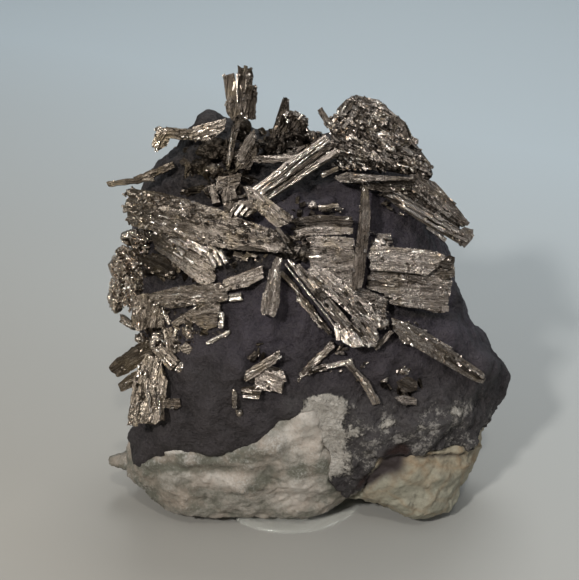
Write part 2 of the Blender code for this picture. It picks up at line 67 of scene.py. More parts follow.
# The display face leans back over the stand. Places on it are (across, up) in mm as seen squarely
# from VIEWING_DISTANCE, and depth is the height above it.
FACE_CENTRE = Vector((0, 2.4, 55)) * MM
FACE_LEAN = math.radians(26.5)
VIEWING_DISTANCE = 273.6 * MM
ACROSS = Vector((1, 0, 0))
UP = Vector((0, math.sin(FACE_LEAN), math.cos(FACE_LEAN)))
OUT = Vector((0, -math.cos(FACE_LEAN), math.sin(FACE_LEAN)))
EYE = FACE_CENTRE + OUT * VIEWING_DISTANCE
SEEN_WIDTH = 579 / 4.2  # mm of the face that the view takes in, 579 dots wide at 4.2 a mm

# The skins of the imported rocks, from which the crystals' heights are taken.
ROCK_MESHES = [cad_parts[node].data
               for node in ("arsenic_matrix", "calcite_vein", "host_rock")]
ROCK_SKINS = [BVHTree.FromPolygons([v.co for v in mesh.vertices],
                                   [p.vertices for p in mesh.polygons])
              for mesh in ROCK_MESHES]


def face_point(across, up, depth):
    """The world point seen at (across, up) mm that stands depth mm above the face."""
    nearer = 1 - depth * MM / VIEWING_DISTANCE
    return (FACE_CENTRE + ACROSS * (across * nearer * MM) + UP * (up * nearer * MM)
            + OUT * (depth * MM))


def seen_at(points):
    """Arrays of across and up in mm for an array of world points."""
    offset = points - np.array(FACE_CENTRE)
    nearer = (1 - offset @ np.array(OUT) / VIEWING_DISTANCE) * MM
    return offset @ np.array(ACROSS) / nearer, offset @ np.array(UP) / nearer


# ---------------------------------------------------------------- sizes and colours
def colour_setting(name, description, default):
    """A colour that a user may change."""
    return bpy.props.FloatVectorProperty(
        name=name, description=description, default=default, size=3, min=0, max=1, subtype="COLOR")


class CrystalSettings(bpy.types.PropertyGroup):
    """Colours and relief of the silver-antimony blades."""
    bright: colour_setting("Clean metal", "Colour of a freshly broken blade", (0.44, 0.378, 0.325))
    dull: colour_setting("Tarnish", "Colour of the brown-grey tarnish", (0.107, 0.0842, 0.0655))
    golden: colour_setting("Golden film", "Colour of the thin iridescent film", (0.33, 0.26, 0.165))
    # Painted glint: the near-white colour put on the smallest facets so that they show as glints.
    spark: colour_setting("Spark", "Colour of the smallest clean facets", (0.88, 0.8, 0.69))
    relief: bpy.props.FloatProperty(
        name="Relief", description="How strongly the ribs stand above each other", default=1.0,
        min=0, max=2, subtype="FACTOR")
    seed: bpy.props.IntProperty(
        name="Growth", description="Which of the possible growths is drawn", default=4)


class RockSettings(bpy.types.PropertyGroup):
    """Colours and mesh size of the three rocks."""
    crust: colour_setting("Arsenic", "Colour of the lumpy arsenic crust", (0.0242, 0.0178, 0.0252))
    crust_brown: colour_setting("Brown arsenic", "Colour of its weathered parts",
                                (0.0165, 0.0122, 0.0095))
    white: colour_setting("Calcite", "Colour of clean calcite", (0.46, 0.41, 0.35))
    stain: colour_setting("Calcite stain", "Colour of the grey-green stain on calcite",
                          (0.118, 0.112, 0.082))
    cream: colour_setting("Host rock", "Colour of the cream host rock", (0.34, 0.31, 0.23))
    rust: colour_setting("Rust", "Colour of the orange tint on the host rock", (0.3, 0.19, 0.095))
    mesh_size: bpy.props.FloatProperty(
        name="Mesh size", description="Edge length of the rocks' meshes", default=0.00063,
        min=0.0003, max=0.003, unit="LENGTH")


class StandSettings(bpy.types.PropertyGroup):
    """The clear turned disc."""
    ior: bpy.props.FloatProperty(
        name="IOR", description="Index of refraction of the disc", default=1.49, min=1, max=2)
    round_steps: bpy.props.IntProperty(
        name="Edge steps", description="Faces over each rounded edge of the disc",
        default=8, min=2, max=24)


class StageSettings(bpy.types.PropertyGroup):
    """Floor, lamps and camera."""
    # The floor's two colours paint light across it: darker and warmer in front, lighter and cooler
    # behind.
    floor: colour_setting("Floor", "Colour of the pale floor in front", (0.3, 0.275, 0.235))
    floor_far: colour_setting("Far floor", "Colour of the pale floor behind", (0.425, 0.47, 0.485))
    key_power: bpy.props.FloatProperty(
        name="Key lamp", description="Power of the lamp at the front left",
        default=4.2, min=0, unit="POWER")
    fill: bpy.props.FloatProperty(
        name="Room light", description="Brightness of the room around", default=0.3, min=0)


# ---------------------------------------------------------------- shader expressions
class Wire:
    """A node's output socket, used in expressions that add Math nodes."""

    def __init__(self, surface, socket):
        self.surface, self.socket = surface, socket

    def _math(self, operation, first, second=None, clamp=False):
        inputs = {0: first} if second is None else {0: first, 1: second}
        return self.surface.node("Math", {"operation": operation, "use_clamp": clamp}, inputs)

    def __add__(self, other):
        return self._math("ADD", self, other)

    __radd__ = __add__

    def __mul__(self, other):
        return self._math("MULTIPLY", self, other)

    __rmul__ = __mul__

    def __sub__(self, other):
        return self._math("SUBTRACT", self, other)

    def __rsub__(self, other):
        return self._math("SUBTRACT", other, self)

    def clamp(self):
        """The value held between 0 and 1."""
        return self._math("ADD", self, 0, clamp=True)

    def above(self, edge, softness):
        """1 where the value is above an edge and 0 below, with a soft step between."""
        return ((self - (edge - softness)) * (0.5 / softness)).clamp()


class Nodes:
    """A node tree under construction."""

    def __init__(self, tree):
        self.nodes, self.links = tree.nodes, tree.links

    def node(self, kind, settings, inputs, output=0):
        """Adds a node of a kind, with its settings and then its inputs, and returns one output."""
        made = self.nodes.new("ShaderNode" + kind)
        for key, value in settings.items():
            if key == "stops":
                ramp = made.color_ramp.elements
                for place, _ in value[1:-1]:
                    ramp.new(place)
                for element, (place, colour) in zip(ramp, value):
                    element.position, element.color = place, (*colour, 1)
            else:
                setattr(made, key, value)
        for key, value in inputs.items():
            self.feed(made.inputs[key], value)
        return Wire(self, made.outputs[output])

    def feed(self, socket, value):
        """Links a wire to a socket, or sets the socket's own value."""
        if isinstance(value, Wire):
            self.links.new(value.socket, socket)
        elif socket.type == "RGBA":
            socket.default_value = (*value, 1)
        else:
            socket.default_value = value


class Surface(Nodes):
    """A material under construction around one Principled shader."""

    def __init__(self, name, **constants):
        self.material = bpy.data.materials.new(name)
        self.material.use_nodes = True
        super().__init__(self.material.node_tree)
        self.shader = self.nodes["Principled BSDF"]
        for socket, value in constants.items():
            self.shader.inputs[socket.replace("_", " ")].default_value = value

    def place(self):
        """Object coordinates in millimetres."""
        raw = self.node("TexCoord", {}, {}, "Object")
        return self.scaled(raw, (1000, 1000, 1000))

    def scaled(self, vector, factors):
        """A vector stretched along its three axes."""
        return self.node("VectorMath", {"operation": "MULTIPLY"}, {0: vector, 1: factors})

    def moved(self, vector, amount):
        """A vector with another added."""
        return self.node("VectorMath", {"operation": "ADD"}, {0: vector, 1: amount})

    def value(self, name):
        """A number that the mesh holds at each of its points."""
        return self.node("Attribute", {"attribute_name": name}, {}, "Fac")

    def grain(self):
        """Coordinates in mm along, across and up each blade."""
        return self.node("Attribute", {"attribute_name": "grain"}, {}, "Vector")

    def noise(self, vector, scale, detail=3, roughness=0.55, distortion=0):
        """Fractal noise from 0 to 1."""
        return self.node("TexNoise", {}, {"Vector": vector, "Scale": scale, "Detail": detail,
                                          "Roughness": roughness, "Distortion": distortion}, "Fac")

    def cells(self, vector, scale, feature="F1"):
        """Distance to the nearest cell point or, with DISTANCE_TO_EDGE, to the nearest edge."""
        return self.node("TexVoronoi", {"feature": feature}, {"Vector": vector, "Scale": scale},
                         "Distance")

    def mix(self, share, first, second, blend="MIX"):
        """Two colours mixed by a share."""
        return self.node("Mix", {"data_type": "RGBA", "blend_type": blend, "clamp_factor": True},
                         {0: share, 6: first, 7: second}, 2)

    def bump(self, height, strength, distance, normal=None):
        """A normal bent by a height in the unit of the distance."""
        inputs = {"Height": height, "Strength": strength, "Distance": distance}
        if normal:
            inputs["Normal"] = normal
        return self.node("Bump", {}, inputs, "Normal")

    def finish(self, **wires):
        """Links the wires to the shader's sockets and returns the material."""
        for socket, value in wires.items():
            self.feed(self.shader.inputs[socket.replace("_", " ")], value)
        return self.material


def metal_finish(settings):
    """Striated metal with brown tarnish, golden film and clean cleavage, painted shade in its grooves
    and cracks, and painted glints on the smallest facets.
    """
    surface = Surface("silver_antimony")
    grain, tone = surface.grain(), surface.value("tone")
    place = surface.place()
    fine = surface.noise(surface.scaled(grain, (0.8, 9, 9)), 1, 3, 0.6)
    streak = surface.noise(surface.scaled(grain, (0.2, 4.2, 4.2)), 1, 3, 0.6)
    facet = surface.cells(surface.scaled(grain, (0.9, 2.2, 2.2)), 1)
    patch = surface.noise(place, 0.3, 4, 0.6)
    sugar = surface.noise(place, 2.6, 3, 0.6)
    tarnish = (patch * 0.9 + streak * 0.3 + sugar * 0.45 - tone * 0.9).above(0.38, 0.3)
    film = surface.noise(surface.moved(place, (31, 7, 3)), 0.21, 3, 0.6).above(0.6, 0.08)
    colour = surface.mix(tarnish, settings.bright, settings.dull)
    colour = surface.mix(film * 0.4, colour, settings.golden)
    # tone carries each lath's brightness and the painted shade of its grooves and cracks.
    shade = (tone * 1.25 + fine * 0.35 + streak * 0.25 + sugar * 0.5 - 0.3).clamp()
    grey = surface.node("CombineColor", {}, {0: shade, 1: shade, 2: shade})
    colour = surface.mix(1, colour, grey, "MULTIPLY")
    left = (surface.node("SeparateXYZ", {}, {0: place}, "X") * -0.03).clamp()
    colour = surface.mix(left, colour, (1, 0.965, 0.87), "MULTIPLY")
    cleaved = (streak + tone * 0.35 + sugar * 0.3).above(0.93, 0.04)
    colour = surface.mix(cleaved * 0.6, colour, settings.bright)
    # Painted glint: facets of the highest tone get a near-white, golden or orange colour and less
    # metal, a painted highlight.
    spark = (tone + streak * 0.5 + sugar * 0.4 - 0.45).above(1.24, 0.12)
    painted_glint_colour = surface.mix((patch * 4 - 1.9).clamp(), settings.spark,
                        surface.mix(0.6, settings.spark, (0.8, 0.42, 0.16)))
    colour = surface.mix(spark, colour, painted_glint_colour)
    rough = (tarnish * 0.2 + sugar * 0.16 + 0.12 - cleaved * 0.08 + spark * 0.1).clamp()
    normal = surface.bump(fine * 0.8 + streak * 0.5, 0.7, 0.00015)
    normal = surface.bump(facet, 0.5, 0.00016, normal)
    normal = surface.bump(sugar, 0.5, 0.00026, normal)
    return surface.finish(Base_Color=colour, Roughness=rough, Metallic=0.97 - spark * 0.2,
                          Normal=normal)


def arsenic_finish(settings):
    """Dull purple-grey crust with brown weathering, painted shade in creases and painted light on
    rises, painted shade around and under the crystals, pale grains, a white skin and a near-black
    hollow, partly painted shade.
    """
    surface = Surface("native_arsenic", Specular_IOR_Level=0.24)
    place = surface.place()
    broad = surface.noise(place, 0.09, 4, 0.6)
    fine = surface.noise(place, 1.1, 5, 0.65)
    grit = surface.noise(surface.moved(place, (9, 4, 17)), 2.1, 3, 0.6)
    brown, speck, rise = surface.value("brown"), surface.value("speck"), surface.value("rise")
    colour = surface.mix((broad * 0.8 + brown - 0.3).clamp(), settings.crust, settings.crust_brown)
    # Painted shade and light: creases and low parts are darkened and rises lightened, by the fine
    # noise and the relief's height.
    lift = (fine * 1.3 + rise * 1.1 - 0.65).clamp()
    colour = surface.mix(lift, surface.mix(0.6, colour, (0, 0, 0)),
                         surface.mix(0.1, colour, (0.31, 0.27, 0.29)))
    pores = surface.noise(surface.moved(place, (1, 8, 2)), 0.55, 4, 0.7)
    shard = (fine * 2 + pores * 2 - 1.75).clamp()
    # Painted shade around and under the crystals: near-black and dark brown in angular shards.
    painted_shade_colour = surface.mix(shard, (0.004, 0.003, 0.003),
                        surface.mix(0.45, settings.crust_brown, (0.1, 0.078, 0.064)))
    colour = surface.mix(surface.value("soot"), colour, painted_shade_colour)
    clumps = surface.noise(surface.moved(place, (7, 3, 1)), 0.24, 3, 0.6)
    ash = (speck * (fine * 2 + clumps * 1.4 + rise * 0.7 - 1.6)).clamp()
    colour = surface.mix(ash * 0.7, colour, (0.09, 0.083, 0.076))
    chips = surface.noise(surface.moved(place, (2, 24, 7)), 0.62, 4, 0.75)
    grains = (speck * 0.3 + grit * 0.5 + chips * 0.7 + clumps * 0.9).above(1.44, 0.06)
    colour = surface.mix(grains * speck, colour, surface.mix(0.5, settings.white, (0.1, 0.1, 0.1)))
    mottle = (grit * 1.4 + pores * 1.6 - 1.35).clamp()
    colour = surface.mix(mottle * 0.55, colour, surface.mix(0.85, colour, (0.13, 0.11, 0.105)))
    colour = surface.mix((pores * 3 - 1.35).clamp() * 0.5, colour,
                         surface.mix(0.55, colour, (0, 0, 0)))
    chalk = (surface.value("chalk") + fine * 0.9 + chips * 1.1 - 1).above(0.62, 0.1)
    chalky = surface.mix((chips * 2.6 - 1.2).clamp(), (0.5, 0.45, 0.385), (0.2, 0.17, 0.135))
    chalky = surface.mix((grit * 2.4 - 1.1).clamp() * 0.7, chalky, (0.62, 0.59, 0.54))
    chalky = surface.mix((broad * 3 - 1.7).clamp() * 0.5, chalky, settings.stain)
    colour = surface.mix(chalk, colour, chalky)
    # The hollow is painted near-black maroon: partly its own colour, partly painted shade.
    colour = surface.mix(surface.value("hollow"), colour, (0.03, 0.016, 0.013))
    normal = surface.bump(fine, 0.9, 0.0009)
    normal = surface.bump(pores, 0.8, 0.0011, normal)
    normal = surface.bump(grit, 0.6, 0.00035, normal)
    normal = surface.bump(chalk * chips, 0.9, 0.0016, normal)
    rough = (0.46 + fine * 0.3 - surface.value("soot") * 0.08).clamp()
    return surface.finish(Base_Color=colour, Roughness=rough, Normal=normal)


def calcite_finish(settings):
    """Cloudy white calcite with grey-green stain, dark specks, glassy cleavage and painted shade in
    its low parts.
    """
    surface = Surface("calcite", Coat_Roughness=0.3)
    place = surface.place()
    broad = surface.noise(place, 0.13, 4, 0.6)
    bands = surface.noise(surface.scaled(place, (0.19, 0.2, 0.2)), 1, 4, 0.6, 0.6)
    fine = surface.noise(place, 0.9, 5, 0.65)
    grit = surface.noise(surface.moved(place, (5, 14, 2)), 2.0, 3, 0.6)
    stain, speck, rise = surface.value("brown"), surface.value("speck"), surface.value("rise")
    soiled = (bands * 1.6 + fine * 1.1 + stain * 1.3 - 1.1 - rise * 0.3).clamp()
    colour = surface.mix(soiled, settings.white, settings.stain)
    blush = surface.noise(surface.moved(place, (3, 22, 8)), 0.16, 3, 0.6)
    colour = surface.mix((blush * 3 - 1.3).clamp() * 0.75, colour, (0.42, 0.33, 0.26))
    colour = surface.mix((fine * 2.2 - 1.0).clamp() * 0.6, colour,
                         surface.mix(0.5, settings.stain, (0.2, 0.17, 0.14)))
    frost = (grit * 1.6 + fine * 0.8 + rise * 0.5 - 1.55).clamp()
    colour = surface.mix(frost, colour, (0.6, 0.57, 0.52))
    # Painted shade: the low parts of the relief are darkened.
    colour = surface.mix((0.42 - rise).clamp() * 2, colour,
                         surface.mix(0.5, settings.stain, (0.05, 0.045, 0.04)))
    dark = (speck * (grit * 1.1 + fine * 0.5)).above(0.66, 0.08)
    colour = surface.mix(dark * 0.9, colour, (0.035, 0.032, 0.034))
    glassy = (broad * 1.4 - 0.45).clamp()
    normal = surface.bump(fine, 0.7, 0.0005)
    normal = surface.bump(grit, 0.35, 0.00025, normal)
    return surface.finish(Base_Color=colour, Roughness=(0.32 + fine * 0.4).clamp(),
                          Coat_Weight=glassy * 0.15, Normal=normal)


def host_finish(settings):
    """Cream rock with rusty seams, dark mottling, painted shade in its low parts, and a hollow
    painted near-black, partly its own colour and partly painted shade.
    """
    surface = Surface("host_rock")
    place = surface.place()
    broad = surface.noise(place, 0.11, 4, 0.6)
    fine = surface.noise(place, 0.8, 5, 0.7)
    seam = surface.cells(surface.moved(place, (3, 1, 8)), 0.12, "DISTANCE_TO_EDGE")
    rise = surface.value("rise")
    green = surface.mix(0.5, settings.cream, (0.17, 0.18, 0.13))
    colour = surface.mix((broad * 1.6 - 0.45).clamp(), settings.cream, green)
    rust = ((1 - seam * 9).clamp() * 0.6 + surface.value("brown")).clamp()
    colour = surface.mix(rust * (fine * 1.4 - 0.1).clamp(), colour, settings.rust)
    colour = surface.mix((fine * 1.6 - 0.68).clamp() * 0.8, colour, (0.1, 0.085, 0.065))
    # Painted shade: the low parts of the relief are darkened.
    colour = surface.mix((0.4 - rise).clamp() * 1.8, colour, (0.09, 0.075, 0.055))
    # speck holds the hollow here, painted near-black: partly its own colour, partly painted shade.
    colour = surface.mix(surface.value("speck"), colour, (0.028, 0.018, 0.016))
    normal = surface.bump(fine, 0.8, 0.0006)
    return surface.finish(Base_Color=colour, Roughness=(0.6 + fine * 0.25).clamp(), Normal=normal)


def clear_finish(settings):
    """Clear acrylic."""
    return Surface("clear_acrylic", Base_Color=(0.93, 0.97, 0.96, 1), Roughness=0.02,
                   Transmission_Weight=1, IOR=settings.ior).material


# ---------------------------------------------------------------- the crystals
# Root and tip as seen on the face, their depths, width and thickness (mm), roll about the length
# (degrees), the kind of growth, and the tip's width over the root's.
Blade = namedtuple("Blade", "root tip depth width thick roll growth taper",
                   defaults=(0, "plate", 1))
# A plate with an outline: its corners as seen; its depths at the start and the end of the laths
# and, where given, what it gains across them and how far it arches; the laths' direction (degrees),
# the thickness and the kind of growth.
Sheet = namedtuple("Sheet", "outline depth turn thick growth")
# A rough knob: its middle as seen, its depth, its half sizes (mm) and its brightness.
Lump = namedtuple("Lump", "middle depth half_sizes tone", defaults=(0.78,))
# Splinters strewn over an area: its outline, how many, their direction and how far it varies
# (degrees), their lengths and heights above the rock (mm), the kind of growth and the side: 1 the
# front of the rock, -1 its far side, 0 the plates grown before them.
Splinters = namedtuple("Splinters", "outline count turn spread lengths lifts growth side",
                       defaults=(1,))
# Angular shards half sunk in the rock: their outline, how many, and from what to what their half
# sizes (mm) and brightness go.
Crags = namedtuple("Crags", "outline count sizes tones")
# How a blade grows: lath width (mm), height by which laths differ (mm), depth of the fine striation
# (mm), tilt of the laths (degrees), share of the length lost at ragged ends, overlays per cm of
# length, crumbs per mm2, waviness of the sides (mm), brightness, how far it varies from lath to lath,
# share of the grooves that are cracks, and share of overlays and crumbs painted near-white as glints.
Growth = namedtuple("Growth",
                    "lath relief fine tilt ragged overlays crumbs wavy tone varied cracks sparks")
GROWTHS = {
    "plate": Growth(1.4, 0.2, 0.05, 8, 0.06, 3, 0.4, 0.3, 0.46, 0.1, 0.25, 0.12),
    "sheaf": Growth(1.0, 0.3, 0.07, 10, 0.08, 4.5, 0.9, 0.35, 0.42, 0.14, 0.3, 0.14),
    "felted": Growth(2.0, 0.16, 0.07, 5, 0.04, 7, 1.5, 0.4, 0.36, 0.08, 0.12, 0.05),
    "ragged": Growth(1.0, 0.5, 0.1, 16, 0.2, 5, 1.2, 0.45, 0.38, 0.18, 0.5, 0.2),
    "rippled": Growth(0.9, 0.75, 0.12, 26, 0.05, 7, 1.8, 0.45, 0.34, 0.22, 0.5, 0.35),
    "bright": Growth(0.8, 0.42, 0.06, 22, 0.05, 2.4, 0.3, 0.15, 0.4, 0.42, 0.7, 0.3),
    "satin": Growth(0.6, 0.07, 0.035, 9, 0.05, 1.4, 0.5, 0.4, 0.36, 0.08, 0.05, 0.3),
    "silver": Growth(0.8, 0.08, 0.035, 8, 0.05, 1.6, 0.5, 0.4, 0.54, 0.09, 0.08, 0.3),
    # The clean, glint and white growths are bright enough that much of them is painted near-white as
    # glints.
    "clean": Growth(0.7, 0.14, 0.04, 16, 0.05, 0, 0, 0.15, 1.22, 0.3, 0.5, 0),
    "glint": Growth(0.5, 0.1, 0.05, 20, 0.05, 0, 0, 0.1, 0.95, 0.4, 0.2, 0),
    "white": Growth(1.2, 0.2, 0.05, 10, 0.06, 1.2, 0.3, 0.2, 1.05, 0.1, 0.3, 0.6),
    "smooth": Growth(2.6, 0.12, 0.04, 4, 0.04, 0.8, 0.4, 0.25, 0.42, 0.05, 0.1, 0.08),
    "twig": Growth(0.9, 0.3, 0.08, 14, 0.1, 3, 0.9, 0.3, 0.5, 0.2, 0.4, 0.3),
    "rough": Growth(1.3, 0.6, 0.1, 20, 0.08, 4, 1.0, 0.4, 0.16, 0.1, 0.4, 0.12),
    "dark": Growth(1.4, 0.28, 0.07, 10, 0.12, 2, 0.4, 0.3, 0.16, 0.07, 0.4, 0.04),
    "black": Growth(1.4, 0.28, 0.07, 10, 0.12, 2, 0.4, 0.3, 0.08, 0.06, 0.4, 0.03),
    "shade": Growth(2.6, 0.12, 0.05, 4, 0.05, 1, 0.4, 0.25, 0.2, 0.04, 0.1, 0.05),
    "dull": Growth(2.2, 0.16, 0.05, 5, 0.06, 1.5, 0.5, 0.3, 0.27, 0.06, 0.2, 0.06),
}
PAINTED_GLINT_TONE = 1.6  # tone at which a facet is painted near-white as a glint
